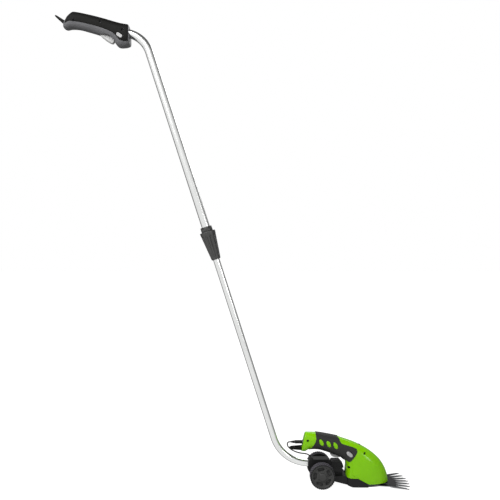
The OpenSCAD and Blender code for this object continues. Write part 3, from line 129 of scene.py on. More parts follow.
# The board keeps the shadow under the tool and is white to the eye where nothing shades it.
board_half_m, board_drop_m, board_glow, glow_share = 14.0, 0.0004, 2.15, 0.45
board_white, tree = blank("matt white board")[:2]
rays = add(tree, "ShaderNodeLightPath")
paper = add(tree, "ShaderNodeBsdfDiffuse", {"Color": linear("#AEAEAC")})
glow = add(tree, "ShaderNodeEmission", {"Color": linear("#FFFFFF"), "Strength": board_glow})
share = add(tree, "ShaderNodeMath", {0: rays.outputs["Is Camera Ray"], 1: glow_share}, operation="MULTIPLY")
lift = add(tree, "ShaderNodeMixShader", {0: share.outputs[0], 1: paper.outputs[0], 2: glow.outputs[0]})
add(tree, "ShaderNodeOutputMaterial", {"Surface": lift.outputs[0]})
board_mesh = bpy.data.meshes.new("board")
corners = [(x * board_half_m, y * board_half_m, 0) for x, y in ((-1, -1), (1, -1), (1, 1), (-1, 1))]
board_mesh.from_pydata(corners, [], [(0, 1, 2, 3)])
board_mesh.materials.append(board_white)
board = bpy.data.objects.new("board", board_mesh)
board.location.z = -board_drop_m
board.visible_glossy = False
bpy.context.collection.objects.link(board)


# Control lead. A limp black PVC lead, 3 mm thick, comes out of a rubber gland on top of the carriage, loops
# back round under the grip and ends in a moulded plug pushed into the socket at the rear of the hand unit.
lead_mm, lead_steps, lead_sides = 3.0, 131, 16
lead_route_mm = np.array([
    (-106.75, -6.5, 65.26), (-110.5, -7.2, 70), (-115.5, -8.6, 73.2), (-122.5, -10, 75), (-130, -11, 76.2),
    (-138, -12, 78.2), (-146, -12.5, 81.2), (-153, -12.5, 84.8), (-159, -11.5, 88.8), (-163, -8.8, 93),
    (-164, -5.4, 97), (-162.5, -2.4, 99.7), (-159.5, -0.6, 100.6), (-154.864, 0, 100.8)])


def through(rows, u):
    """A smooth curve through rows of numbers: the cubic between two rows leaves each one along the line
    between its neighbours. u counts rows and may be any array."""
    rows, u = np.asarray(rows, float), np.asarray(u, float)
    i = np.clip(np.floor(u).astype(int), 0, len(rows) - 2)
    t = (u - i)[..., None]
    a, b, c, d = (rows[np.clip(i + k, 0, len(rows) - 1)] for k in (-1, 0, 1, 2))
    return 0.5 * (2 * b + (c - a) * t + (2 * a - 5 * b + 4 * c - d) * t * t
                  + (3 * b - a - 3 * c + d) * t ** 3)


def piece(name, grids, smooth_deg=35.0):
    """A mesh piece from grids of points in millimetres. Each grid is rows of points along the piece, each row
    a closed ring, with "fill" to close its two ends or "wrap" to join the last row to the first. A grid whose
    enclosed volume comes out negative has its faces turned round."""
    points, faces, start = [], [], 0
    for grid, ends in grids:
        n, m = grid.shape[:2]
        i, j = np.meshgrid(np.arange(n if ends == "wrap" else n - 1), np.arange(m), indexing="ij")
        h, k = (i + 1) % n, (j + 1) % m
        quads = np.stack([i * m + j, h * m + j, h * m + k, i * m + k], -1).reshape(-1, 4)
        flat = grid.reshape(-1, 3)
        a, b, c, d = (flat[quads[:, q]] - flat.mean(0) for q in range(4))
        volume = np.einsum("ij,ij->", a, np.cross(b, c)) + np.einsum("ij,ij->", a, np.cross(c, d))
        turned = -1 if volume < 0 else 1
        faces += (quads[:, ::turned] + start).tolist()
        if ends == "fill":
            faces.append((np.arange(m)[::turned] + start).tolist())
            faces.append((np.arange(m)[::-turned] + (n - 1) * m + start).tolist())
        points.append(flat)
        start += n * m
    mesh = bpy.data.meshes.new(name)
    mesh.from_pydata((np.concatenate(points) / 1000).tolist(), [], faces)
    mesh.polygons.foreach_set("use_smooth", np.ones(len(mesh.polygons), bool))
    mesh.set_sharp_from_angle(angle=math.radians(smooth_deg))
    made = bpy.data.objects.new(name, mesh)
    bpy.context.collection.objects.link(made)
    return made


def ring_path(path, across, up):
    """Carries rings of (across, up) offsets along a path. The frame starts square to the path and is carried
    along without twist: each step keeps the part of the last frame that is square to the new direction."""
    way = np.gradient(path, axis=0)
    way /= np.linalg.norm(way, axis=1, keepdims=True)
    frames = np.empty((len(path), 3))
    side = np.cross(way[0], (0, 0, 1.0) if abs(way[0][2]) < 0.9 else (1.0, 0, 0))
    for i, w in enumerate(way):
        side = side - w * (side @ w)
        side /= np.linalg.norm(side)
        frames[i] = side
    high = np.cross(frames, way)
    return path[:, None] + across[..., None] * frames[:, None] + up[..., None] * high[:, None]


lead_path = through(lead_route_mm, np.linspace(0, len(lead_route_mm) - 1, lead_steps))
turn = np.linspace(0, 2 * np.pi, lead_sides, endpoint=False)[None]
lead_skin = ring_path(lead_path, lead_mm / 2 * np.cos(turn), lead_mm / 2 * np.sin(turn))
lead = piece("control_lead", [(lead_skin, "fill")])

specular = 0.2


def finish(tree, tone, rough, inputs):
    """Ends a tree in one shaded surface. Its tone is a share and the two colours, hex values or sockets,
    that it runs between; its roughness is a share and two values, or one number. A fine texture scatters
    the light, so it mirrors less than its index alone would give, unless the inputs say otherwise."""
    share, one, two = tone
    one, two = (linear(c) if isinstance(c, str) else c for c in (one, two))
    tone = add(tree, "ShaderNodeMix", {"Factor": share, "A": one, "B": two}, data_type="RGBA")
    if isinstance(rough, tuple):
        share, low, high = rough
        rough = add(tree, "ShaderNodeMapRange", {"Value": share, "To Min": low, "To Max": high}).outputs[0]
    face = add(tree, "ShaderNodeBsdfPrincipled", {
        "Base Color": tone.outputs["Result"], "Roughness": rough, "Specular IOR Level": specular, **inputs})
    add(tree, "ShaderNodeOutputMaterial", {"Surface": face.outputs[0]})


# Plasticised PVC, extruded: a soft sheen with faint grime, dull where it has been handled
pvc, tree, spot = blank("extruded black PVC")
grime = add(tree, "ShaderNodeTexNoise", {"Vector": spot, "Scale": 1000 / 6.0, "Detail": 4.0}).outputs["Fac"]
finish(tree, (grime, "#141414", "#252524"), (grime, 0.36, 0.52), {"IOR": 1.53})


def lathe(profile, at, axis, sides=64):
    """Turns a profile of (distance along the axis, radius) about an axis through a point, a circle a row."""
    axis = np.asarray(axis, float) / np.linalg.norm(axis)
    one = np.cross(axis, (0, 1.0, 0) if abs(axis[1]) < 0.9 else (1.0, 0, 0))
    one /= np.linalg.norm(one)
    two = np.cross(axis, one)
    turn = np.linspace(0, 2 * np.pi, sides, endpoint=False)
    circle = np.cos(turn)[:, None] * one + np.sin(turn)[:, None] * two
    profile = np.asarray(profile, float)
    return np.asarray(at, float) + profile[:, :1, None] * axis + profile[:, 1:, None] * circle


def ease(x, low, high):
    """0 below low, 1 above high, and a smooth S between them."""
    t = np.clip((np.asarray(x, float) - low) / (high - low), 0, 1)
    return t * t * (3 - 2 * t)


def grooves(along, start, end, pitch, wide, deep):
    """Depth of square grooves turned in a profile, one in the middle of each pitch between start and end."""
    return deep * (np.abs((along - start) % pitch - pitch / 2) < wide / 2) * (along > start) * (along < end)


plug_at, plug_long, plug_r, nose_long, nose_draw = (-126.864, 0.0, 100.8), 28.0, 4.25, 1.6, 0.45
waist_at, waist_wide, waist_deep = 16.5, 0.5, 0.35
tail_at, tail_r, tail_taper = 18.0, 3.6, 1.3
along = np.linspace(0, plug_long, 113)
barrel = plug_r - nose_draw * ease(along, nose_long, 0.0)
barrel -= waist_deep * np.exp(-((along - waist_at) / waist_wide) ** 2)
barrel -= grooves(along, start=4, end=15, pitch=2.6, wide=0.9, deep=0.3)
tail = tail_r - tail_taper * (along - tail_at) / (plug_long - tail_at)
tail -= grooves(along, start=18.6, end=np.inf, pitch=1.9, wide=0.84, deep=0.45)
plug_profile = np.stack([along, np.where(along < tail_at, barrel, tail)], 1)
plug = piece("lead_plug_body", [(lathe(plug_profile, plug_at, (-1, 0, 0)), "fill")])
plug.data.materials.append(pvc)
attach(plug, "carriage")
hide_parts("lead_plug")

gland_at, gland_way = (-104.0, -6.5, 60.5), (-0.5, 0.0, 0.8660)
gland_foot, gland_top, flange_top, flange_r, flange_draw = -3.4, 5.5, 1.2, 4.0, 0.5
neck_r, neck_taper = 3.4, 1.2
along = np.linspace(gland_foot, gland_top, 72)
flange = flange_r - flange_draw * ease(along, flange_top / 2, flange_top)
neck = neck_r - neck_taper * (along - flange_top) / (gland_top - flange_top)
neck = np.where(along < flange_top, flange, neck)
neck -= grooves(along, start=1.6, end=np.inf, pitch=1.3, wide=0.6, deep=0.4)
gland = piece("lead_gland_boot", [(lathe(np.stack([along, neck], 1), gland_at, gland_way, sides=40), "fill")])
gland.data.materials.append(pvc)
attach(gland, "carriage")
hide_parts("lead_gland")

lead.data.materials.append(pvc)
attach(lead, "carriage")
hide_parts("control_cord")

# Telescope tubes. Two drawn aluminium tubes, 21 and 16.5 mm, each with one bend, satin anodised; the lower
# one slides in the upper one on a bush and is clamped in the carriage.
pole_deg, entry_deg, handle_deg = 72.1, 7.5, 17.0
tube_wall, tube_sides, bend_steps = 1.2, 72, 40
mouth = np.array((-104.5, 0.0, 47.0))
lower_corner = np.array((-179.85, 0.0, 56.92))
upper_corner = np.array((-519.479, 0.0, 1108.43))
lower_in, lower_up, lower_bend, lower_wide = 42.0, 698.8, 90.0, 16.5
upper_foot, upper_in, upper_bend, upper_wide = 568.8, 63.52, 70.0, 21.0


def rising(deg):
    """The direction in the middle plane that points back and rises by an angle."""
    return np.array((-math.cos(math.radians(deg)), 0.0, math.sin(math.radians(deg))))


def bent_path(start, corner, end, radius, steps):
    """A straight run, an arc that touches both lines at a corner, and a straight run out of it."""
    a, b = (start - corner) / np.linalg.norm(start - corner), (end - corner) / np.linalg.norm(end - corner)
    half = np.arccos(a @ b) / 2
    centre = corner + (a + b) / np.linalg.norm(a + b) * radius / math.sin(half)
    one = corner + a * radius / math.tan(half) - centre
    one /= np.linalg.norm(one)
    two = (corner + b * radius / math.tan(half) - centre) / radius
    two -= one * (one @ two)
    two /= np.linalg.norm(two)
    sweep = np.linspace(0, np.pi - 2 * half, steps)[:, None]
    arc = centre + radius * (np.cos(sweep) * one + np.sin(sweep) * two)
    straight = np.linspace(0, 1, 12)[:-1, None]
    return np.concatenate([start + (arc[0] - start) * straight, arc,
                           arc[-1] + (end - arc[-1]) * (1 - straight[::-1])])


def tube(name, path, outside):
    """A tube wall carried along a path: each row runs down the outside and back up the bore, and the rows go
    round the axis."""
    turn = np.linspace(0, 2 * np.pi, tube_sides, endpoint=False)[None] * np.ones((len(path), 1))
    skin = [ring_path(path, r * np.cos(turn), r * np.sin(turn))
            for r in (outside / 2, outside / 2 - tube_wall)]
    return piece(name, [(np.concatenate([skin[0], skin[1][::-1]]).transpose(1, 0, 2), "wrap")])


pole_way, entry_way, handle_way = (rising(deg) for deg in (pole_deg, entry_deg, handle_deg))
lower_path = bent_path(mouth - lower_in * entry_way, lower_corner, lower_corner + lower_up * pole_way,
                       lower_bend, bend_steps)
upper_path = bent_path(lower_corner + upper_foot * pole_way, upper_corner,
                       upper_corner + upper_in * handle_way, upper_bend, bend_steps)
lower = tube("lower_pole_tube", lower_path, lower_wide)
upper = tube("upper_pole_tube", upper_path, upper_wide)

# Drawn and satin anodised aluminium: pale grey metal with die lines along the tube. The lines are fine hairs,
# drawn here 1.2 mm apart so that they show, and turned to run with the pole.
anodised, tree, spot = blank("satin anodised aluminium")
turned = add(tree, "ShaderNodeMapping", {
    "Vector": spot, "Rotation": (0, math.radians(90 - pole_deg), 0), "Scale": (1, 1, 0.02)})
hairs = add(tree, "ShaderNodeTexNoise", {
    "Vector": turned.outputs[0], "Scale": 1000 / 1.2, "Detail": 3.0}).outputs["Fac"]
blotch = add(tree, "ShaderNodeTexNoise", {"Vector": spot, "Scale": 1000 / 60.0, "Detail": 3.0}).outputs["Fac"]
finish(tree, (blotch, "#DCDDDC", "#E9EAE9"), (hairs, 0.19, 0.28), {"Metallic": 1.0})
for made, body, node in ((lower, "carriage", "lower_tube"), (upper, "pole_handle", "upper_tube")):
    made.data.materials.append(anodised)
    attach(made, body)
    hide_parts(node)

# Twist collar. A slotted collet moulded on the foot of the upper tube, its castellated ring showing above,
# and a fluted tapered nut that squeezes it on the lower tube; both injection moulded in black nylon.
collar_up, nut_high, nut_wide, nut_thin, nut_band = 525.0, 73.0, 39.0, 23.0, 4.0
foot_round, foot_draw = 3.0, 2.6
flutes, flute_deep, flute_grow, flute_flat = 10, 1.8, 2.2, -0.25
flute_foot, flute_top = (1.5, 9), (9, 15)
collar_foot = lower_corner + collar_up * pole_way
nut_rim = np.array([
    (nut_high - 4.2, 19.42), (nut_high - 3.6, 19.5), (nut_high - 1.4, 19.5), (nut_high - 0.8, 19.3),
    (nut_high - 0.45, 18.7), (nut_high - 0.35, 18.0), (nut_high - 0.35, 14.35), (26.0, 10.75),
    (24.5, 10.65), (24.47, 8.65), (0.6, 8.65), (0.0, 9.2)])


def quarter(depth, radius):
    """Height of a rounded border: 0 at its edge, 1 one radius in, and a quarter circle between."""
    return np.sqrt(1 - (1 - np.clip(depth / radius, 0, 1)) ** 2)


def nut_grid(turns, ups):
    """The nut as loops round its wall: up the outside, over the rim and down the bore. Outside, the radius
    grows evenly with height and shallow flutes are sunk in it, fading out at the foot and below the rim."""
    turn = np.linspace(0, 2 * np.pi, turns, endpoint=False)[:, None]
    h = np.linspace(foot_round, nut_high - nut_band - 1, ups)
    h = np.concatenate([np.linspace(0, foot_round, 9)[:-1], h])[None]
    r = nut_thin / 2 + (nut_wide - nut_thin) / 2 * np.clip(h / (nut_high - nut_band), 0, 1)
    r = r - foot_draw * (1 - quarter(h, foot_round))
    scallop = np.clip(np.cos(flutes * turn), flute_flat, 1) * 0.5 - flute_flat / 2
    fade = ease(h, *flute_foot) * ease(nut_high - h, *flute_top)
    r = r - (flute_deep + flute_grow * h / nut_high) * scallop * fade
    h = np.concatenate([h, nut_rim[None, :, 0]], 1) * np.ones_like(turn)
    r = np.concatenate([r, nut_rim[None, :, 1] * np.ones_like(turn)], 1)
    out, side = np.array((pole_way[2], 0.0, -pole_way[0])), np.array((0.0, 1.0, 0.0))
    return (collar_foot + h[..., None] * pole_way
            + r[..., None] * (np.cos(turn)[..., None] * out + np.sin(turn)[..., None] * side))


nut = piece("twist_nut", [(nut_grid(turns=240, ups=60), "wrap")])

# Moulded nylon from a spark-eroded tool: charcoal with a fine even grain that scatters the light, drawn 0.7
# mm wide so that it shows, and a little paler where hands polish the grain flat.
nylon, tree, spot = blank("moulded black nylon")
grain = add(tree, "ShaderNodeTexNoise", {"Vector": spot, "Scale": 1000 / 0.7, "Detail": 2.0}).outputs["Fac"]
handled = add(tree, "ShaderNodeTexNoise", {
    "Vector": spot, "Scale": 1000 / 22.0, "Detail": 3.0}).outputs["Fac"]
pitted = add(tree, "ShaderNodeBump", {"Height": grain, "Strength": 0.06, "Distance": 0.0003})
finish(tree, (handled, "#2E2E2D", "#40403F"), (handled, 0.3, 0.42),
       {"Normal": pitted.outputs[0], "IOR": 1.53, "Specular IOR Level": 0.45})


def dress(node, material, edge_mm=0.0, turn_deg=40.0):
    """Gives a CAD node its material and, where it has an edge radius, welds its triangles and rounds the
    edges that turn by more than an angle."""
    made = nodes[node]
    made.data.materials.clear()
    made.data.materials.append(material)
    if edge_mm:
        weld = made.modifiers.new("weld", "WELD")
        weld.merge_threshold = 1e-6
        soft = made.modifiers.new("edge", "BEVEL")
        soft.width, soft.segments, soft.limit_method = edge_mm / 1000, 2, "ANGLE"
        soft.angle_limit, soft.harden_normals = math.radians(turn_deg), True
    return made


nut.data.materials.append(nylon)
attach(nut, "collar_nut")
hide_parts("collar_nut")
dress("collar_collet", nylon, edge_mm=0.5)
dress("guide_bush", nylon, edge_mm=0.4)

# Pole handle. Two halves moulded in glass-filled nylon, screwed together round the end of the upper tube,
# with a lobe in front of the fingers; the crown carries a cover of soft elastomer moulded over it.
handle_in, handle_widest = 37.5185, 0.52
handle_at = upper_corner + handle_in * handle_way
handle_rows = np.array([
    (-161.34, -7.8, -166.5, -30.0, 11.16, 2.4), (-159.62, -3.0, -163.4, -34.2, 13.68, 2.4),
    (-156.86, 2.4, -157.9, -36.6, 15.48, 2.4), (-152.05, 8.58, -152.05, -36.0, 16.56, 2.4),
    (-143.1, 10.8, -143.1, -31.2, 17.1, 2.4), (-123.84, 12.78, -123.84, -26.58, 17.46, 2.4),
    (-99.76, 14.58, -99.76, -25.62, 17.46, 2.4), (-72.24, 15.78, -72.24, -25.62, 16.92, 2.4),
    (-49.88, 16.02, -49.88, -28.02, 16.92, 2.4), (-34.4, 16.38, -32.68, -31.8, 17.46, 2.5),
    (-22.36, 17.4, -16.86, -40.2, 18.0, 2.6), (-12.9, 18.48, 0.4, -35.0, 18.0, 2.8),
    (-8.6, 17.4, 8.9, -28.4, 17.1, 2.8)])
handle_rows = np.column_stack([handle_rows, handle_rows[:, 5], np.full(len(handle_rows), handle_widest)])


def section(rows, a, side, inset):
    """Points of moulded cross-sections. Each row has an outer and an inner edge point in the middle plane, a
    half width, the roundness on the inner and outer side and where between the edges it is widest. The angle
    a runs from the inner edge to the outer one on a superellipse; inset shrinks it, and may differ at each
    point."""
    o, i = rows[:, None, 0:2], rows[:, None, 2:4]
    reach = np.linalg.norm(o - i, axis=2)
    d = (o - i) / reach[..., None]
    c, s, mid = np.cos(a), np.clip(np.sin(a), 0, 1), rows[:, None, 7]
    n = np.where(c >= 0, rows[:, None, 5], rows[:, None, 6])
    q = np.where(c >= 0, mid * (1 - np.abs(c) ** (2 / n)), mid + (1 - mid) * np.abs(c) ** (2 / n))
    p = i + d * (inset + q * (reach - 2 * inset))[..., None]
    return np.stack([p[..., 0], side * (rows[:, None, 4] - inset) * s ** (2 / n), p[..., 1]], -1)


def half_turn(count):
    """Angles from 0 to 180 degrees, crowded towards 0, 90 and 180 where a superellipse turns fastest."""
    t = np.linspace(0, 1, count // 2 + 1)
    t = t ** 2 / (t ** 2 + (1 - t) ** 2) * np.pi / 2
    return np.concatenate([t, np.pi / 2 + t[1:]])[None]


def tipped(u, v, deg):
    """Turns lengths (u, v) forwards and down by an angle; a negative angle turns them back."""
    c, s = math.cos(math.radians(deg)), math.sin(math.radians(deg))
    return u * c + v * s, v * c - u * s


def in_handle(p):
    """Turns points of the handle's own frame, x forward along the tube, to their place on the pole."""
    x, z = tipped(p[..., 0], p[..., 2], handle_deg)
    return np.stack([handle_at[0] + x, p[..., 1], handle_at[2] + z], -1)


def carve(made, cutters, smooth_deg=35.0):
    """Takes cutters out of a piece, one after the other, and throws them away."""
    for cutter in cutters:
        cut = made.modifiers.new("cut", "BOOLEAN")
        cut.operation, cut.solver, cut.object = "DIFFERENCE", "MANIFOLD", cutter
    whole = made.evaluated_get(bpy.context.evaluated_depsgraph_get())
    mesh = bpy.data.meshes.new_from_object(whole)
    made.modifiers.clear()
    old, made.data = made.data, mesh
    mesh.name = made.name
    mesh.materials.clear()
    mesh.polygons.foreach_set("material_index", np.zeros(len(mesh.polygons), np.int32))
    mesh.polygons.foreach_set("use_smooth", np.ones(len(mesh.polygons), bool))
    mesh.set_sharp_from_angle(angle=math.radians(smooth_deg))
    bpy.data.meshes.remove(old)
    for cutter in cutters:
        bpy.data.meshes.remove(cutter.data)


def bar(outline, y0, y1, place=None):
    """A cutter: an outline of (x, z) points carried from y0 to y1, turned to its place if it has one."""
    flat = np.asarray(outline, float)
    rows = np.stack([np.stack([flat[:, 0], np.full(len(flat), y), flat[:, 1]], 1) for y in (y0, y1)])
    return piece("cutter", [(place(rows) if place else rows, "fill")])


def stadium(x, z, long, wide, lean_deg, count=48):
    """Outline of a slot with round ends about a point, leaning forwards and down."""
    turn = np.linspace(0, 2 * np.pi, count, endpoint=False)
    u = np.cos(turn) * wide / 2 + np.sign(np.cos(turn)) * (long - wide) / 2
    u, v = tipped(u, np.sin(turn) * wide / 2, lean_deg)
    return np.stack([x + u, z + v], 1)


def parting(gap, deep, wide):
    """Depth of the joint line between two halves: a bell curve of the angle between a point and the line."""
    return deep * np.exp(-(gap / wide) ** 2)


both_sides = ((-1, "near"), (1, "far"))
last_row = len(handle_rows) - 1
rear_draw, rear_row, rear_round = 3.0, 5.2, 3.2
front_draw, front_row, front_round = 2.2, 7.5, 2.4
seam_deep, seam_wide = 0.35, 0.014
handle_wall, hollow_from, hollow_to, mid_web = 4.6, 2.6, 8.6, 0.5
seat_r, seat_from, seat_to = 10.55, -26.05, 60.0
trigger_hinge, trigger_long = (-70.52, -21.0), 36.464
slot_behind, slot_ahead, slot_below, slot_above, slot_half = 4.4, 41.5, 36.5, 6.0, 6.4
finger_x, finger_z, finger_r = -52.976, -49.2, 28.62
handle_screws, pocket_wide, pocket_floor = [(-17.888, -0.3), (-76.54, 2.4), (-140.352, -13.5)], 6.2, 11.16
pole_key, pole_key_lean, pole_key_floor = (-20.64, -15.6), 19.0, 6.2
key_long, key_wide, key_play = 18.0, 10.0, 0.6
beyond, hair = 40.0, 0.01
handle_halves = []
for side, name in both_sides:
    u = np.concatenate([np.linspace(0, 0.5, 16)[:-1], np.linspace(0.5, last_row, 230)])
    rows = through(handle_rows, u)
    a = half_turn(88)
    depth = rear_draw * (1 - quarter(u * rear_row, rear_round))
    depth += front_draw * (1 - quarter((last_row - u) * front_row, front_round))
    seam = parting(np.minimum(a, np.pi - a), seam_deep, seam_wide)
    skin = in_handle(section(rows, a, side, depth[:, None] + seam))
    half = piece("pole_handle_" + name + "_half", [(skin, "fill")], smooth_deg=40)
    hollow = through(handle_rows, np.linspace(hollow_from, hollow_to, 60))
    hollow = section(hollow, half_turn(40), side, handle_wall)
    hollow[..., 1] -= side * mid_web
    seat = lathe([(seat_from, seat_r), (seat_to, seat_r)], (0, 0, 0), (1, 0, 0))
    cuts = [piece("cutter", [(in_handle(hollow), "fill")]), piece("cutter", [(in_handle(seat), "fill")])]
    slot = np.array([(-slot_behind, -slot_below), (slot_ahead, -slot_below), (slot_ahead, slot_above),
                     (-slot_behind, slot_above)]) + trigger_hinge
    cuts.append(bar(slot, -slot_half, slot_half, in_handle))
    turn = np.linspace(0, 2 * np.pi, 160, endpoint=False)
    finger_gap = np.stack([finger_x + finger_r * np.cos(turn), finger_z + finger_r * np.sin(turn)], 1)
    cuts.append(bar(finger_gap, -beyond, beyond, in_handle))
    if side < 0:
        cuts += [bar(stadium(x, z, pocket_wide + hair, pocket_wide, 0), -beyond, -pocket_floor, in_handle)
                 for x, z in handle_screws]
        key_slot = stadium(*pole_key, key_long + key_play, key_wide + key_play, pole_key_lean)
        cuts.append(bar(key_slot, -beyond, -pole_key_floor, in_handle))
    carve(half, cuts, smooth_deg=40)
    handle_halves.append(half)

# Glass-filled nylon: mid grey with a satin face, where fibre ends and flow marks show as a faint mottle. The
# fibre ends are drawn 1.6 mm apart so that they show.
filled, tree, spot = blank("moulded glass-filled nylon")
fibres = add(tree, "ShaderNodeTexNoise", {"Vector": spot, "Scale": 1000 / 1.6, "Detail": 4.0}).outputs["Fac"]
flow = add(tree, "ShaderNodeTexNoise", {
    "Vector": spot, "Scale": 1000 / 30.0, "Detail": 3.0, "Distortion": 0.6}).outputs["Fac"]
mottle = add(tree, "ShaderNodeMath", {0: fibres, 1: flow}, operation="MULTIPLY")
pitted = add(tree, "ShaderNodeBump", {"Height": fibres, "Strength": 0.08, "Distance": 0.0003})
finish(tree, (mottle.outputs[0], "#525254", "#828284"), (fibres, 0.34, 0.5),
       {"Normal": pitted.outputs[0], "IOR": 1.53})
for half, node in zip(handle_halves, ("pole_handle_near", "pole_handle_far")):
    half.data.materials.append(filled)
    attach(half, "pole_handle")
    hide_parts(node)


def overmould(rows, starts, ends, lows, highs, side, thick, border, spans, place=None, dip=None):
    """A soft layer lying over part of a moulding, as loops up its outer face and back under it. Its rear and
    front borders are rows given at equal angles, its lower and upper borders angles given along its length.
    The outer face stands off by the thickness and rounds down to the moulding at the borders, and dip lowers
    it at points (x, z)."""
    t = np.linspace(0, 1, spans)
    k = half_turn(72)[0] / np.pi
    first = through(np.array(starts)[:, None], k * (len(starts) - 1))[:, 0]
    last = through(np.array(ends)[:, None], k * (len(ends) - 1))[:, 0]
    u = first[None] + (last - first)[None] * t[:, None]
    low = np.radians(through(np.array(lows, float)[:, None], t * (len(lows) - 1))[:, 0])
    high = np.radians(np.minimum(through(np.array(highs, float)[:, None], t * (len(highs) - 1))[:, 0], 180))
    a = low[:, None] + (high - low)[:, None] * k[None]
    flat = through(rows, u.reshape(-1))

    def at(inset):
        return section(flat, a.reshape(-1, 1), side, inset)[:, 0].reshape(*u.shape, 3)

    under = at(0.0)
    run = np.cumsum(np.linalg.norm(np.diff(under, axis=0, prepend=under[:1]), axis=2), axis=0)
    rise = np.cumsum(np.linalg.norm(np.diff(under, axis=1, prepend=under[:, :1]), axis=2), axis=1)
    edge = np.minimum(run, run[-1:] - run)
    edge = np.where(low[:, None] > 0, np.minimum(edge, rise), edge)
    edge = np.where(high[:, None] < at_seam, np.minimum(edge, rise[:, -1:] - rise), edge)
    stand = thick * quarter(edge, border)
    if dip is not None:
        stand = stand * dip(under[..., 0], under[..., 2])
    gap = np.minimum(np.where(low[:, None] > 0, np.pi, a), np.pi - a)
    stand = stand - parting(gap, layer_seam, seam_wide)
    over = at(-stand.reshape(-1, 1) - layer_foot - layer_edge)
    both = np.concatenate([over, at(-layer_foot)[:, ::-1]], 1)
    return place(both) if place else both


# Soft elastomer moulded over nylon: near black, dull, with a fine leathery grain that kills the shine. Each
# layer lies a hair off the moulding under it, and is thinner still at its borders.
layer_foot, layer_edge, layer_seam, layer_thick, at_seam = 0.04, 0.01, 0.3, 1.25, 3.1
elastomer, tree, spot = blank("moulded black elastomer")
grain = add(tree, "ShaderNodeTexVoronoi", {
    "Vector": spot, "Scale": 1000 / 1.1}, feature="DISTANCE_TO_EDGE").outputs["Distance"]
wear = add(tree, "ShaderNodeTexNoise", {"Vector": spot, "Scale": 1000 / 35.0, "Detail": 4.0}).outputs["Fac"]
leather = add(tree, "ShaderNodeBump", {"Height": grain, "Strength": 0.3, "Distance": 0.0002})
finish(tree, (wear, "#070706", "#11110F"), (wear, 0.5, 0.72),
       {"Normal": leather.outputs[0], "IOR": 1.5, "Specular IOR Level": 0.1})
cover_rear = [1.3, 1.15, 1, 0.9, 0.8, 0.75, 0.75, 0.75, 0.75]
cover_front = [11.5, 11.6, 11.65, 11.65, 11.65, 11.65, 11.65, 11.65, 11.65]
cover_low, cover_top = [72, 80, 75, 77, 77, 67, 58], [180, 180]
cover_pocket, cover_floor = 6.6, 5.0
for side, name in both_sides:
    grid = overmould(handle_rows, cover_rear, cover_front, cover_low, cover_top, side, layer_thick,
                     border=1.3, spans=220, place=in_handle)
    cover = piece("pole_cover_" + name + "_skin", [(grid, "fill")], smooth_deg=60)
    if side < 0:
        cuts = [bar(stadium(x, z, cover_pocket + hair, cover_pocket, 0), -beyond, -cover_floor, in_handle)
                for x, z in handle_screws]
        carve(cover, cuts + [bar(key_slot, -beyond, -cover_floor, in_handle)], smooth_deg=60)
    cover.data.materials.append(elastomer)
    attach(cover, "pole_handle")
    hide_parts("pole_cover_" + name)

# Pole trigger and lock button. Pale grey ABS mouldings; the trigger hinges on a steel pin in the slot under
# the handle and a coil spring pushes it down, and the button slides through the near half.
trigger_x = np.array([-0.08, 0, 0.3, 0.66, 0.88, 1, 1.03, 1, 0.55, 0.1])
pole_trigger_z = np.array([0.08, -0.12, -0.27, -0.39, -0.43, -0.4, -0.28, -0.06, 0.03, 0.1])


def soft_bar(outline, half, edge, place=None):
    """A bar across y whose outline, a smooth closed curve through (x, z) points, draws in towards both ends
    by a quarter circle, so that its edges are round."""
    flat = np.concatenate([outline[-1:], outline, outline[:2]])
    flat = through(flat, np.linspace(1, len(outline) + 1, 97)[:-1])
    ahead = np.roll(flat, -1, 0) - np.roll(flat, 1, 0)
    inward = np.stack([-ahead[:, 1], ahead[:, 0]], 1)
    inward /= np.linalg.norm(inward, axis=1, keepdims=True)
    spin = np.sum(flat[:, 0] * np.roll(flat[:, 1], -1) - flat[:, 1] * np.roll(flat[:, 0], -1))
    inward *= np.sign(spin)
    bow = np.linspace(0, np.pi / 2, 8)
    y = half - edge * (1 - np.sin(bow))
    draw = edge * (1 - np.cos(bow))
    y, draw = np.concatenate([-y[::-1], y]), np.concatenate([draw[::-1], draw])
    ring = flat[None] + inward[None] * draw[:, None, None]
    grid = np.stack([ring[..., 0], y[:, None] * np.ones(len(flat)), ring[..., 1]], -1)
    return place(grid) if place else grid


# ABS, moulded with a fine satin texture: pale neutral grey, a soft wide highlight, faint thumb marks
pale_abs, tree, spot = blank("moulded pale ABS")
marks = add(tree, "ShaderNodeTexNoise", {"Vector": spot, "Scale": 1000 / 9.0, "Detail": 4.0}).outputs["Fac"]
finish(tree, (marks, "#A6A6A5", "#BCBCBB"), (marks, 0.3, 0.44), {"IOR": 1.54})

outline = np.stack([trigger_x, pole_trigger_z], 1) * trigger_long + trigger_hinge
lever = soft_bar(outline, half=6.0, edge=1.5, place=in_handle)
trigger = piece("pole_trigger_lever", [(lever, "fill")], smooth_deg=50)
trigger.data.materials.append(pale_abs)
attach(trigger, "pole_trigger")
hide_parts("pole_trigger")

key_shank, key_step, crown_high, crown_round = 9.0, 0.6, 1.8, 1.6
dish_out, dish_draw, dish_least = [2.3, 2.05, 1.9], [2.9, 3.7, 4.6], 0.4


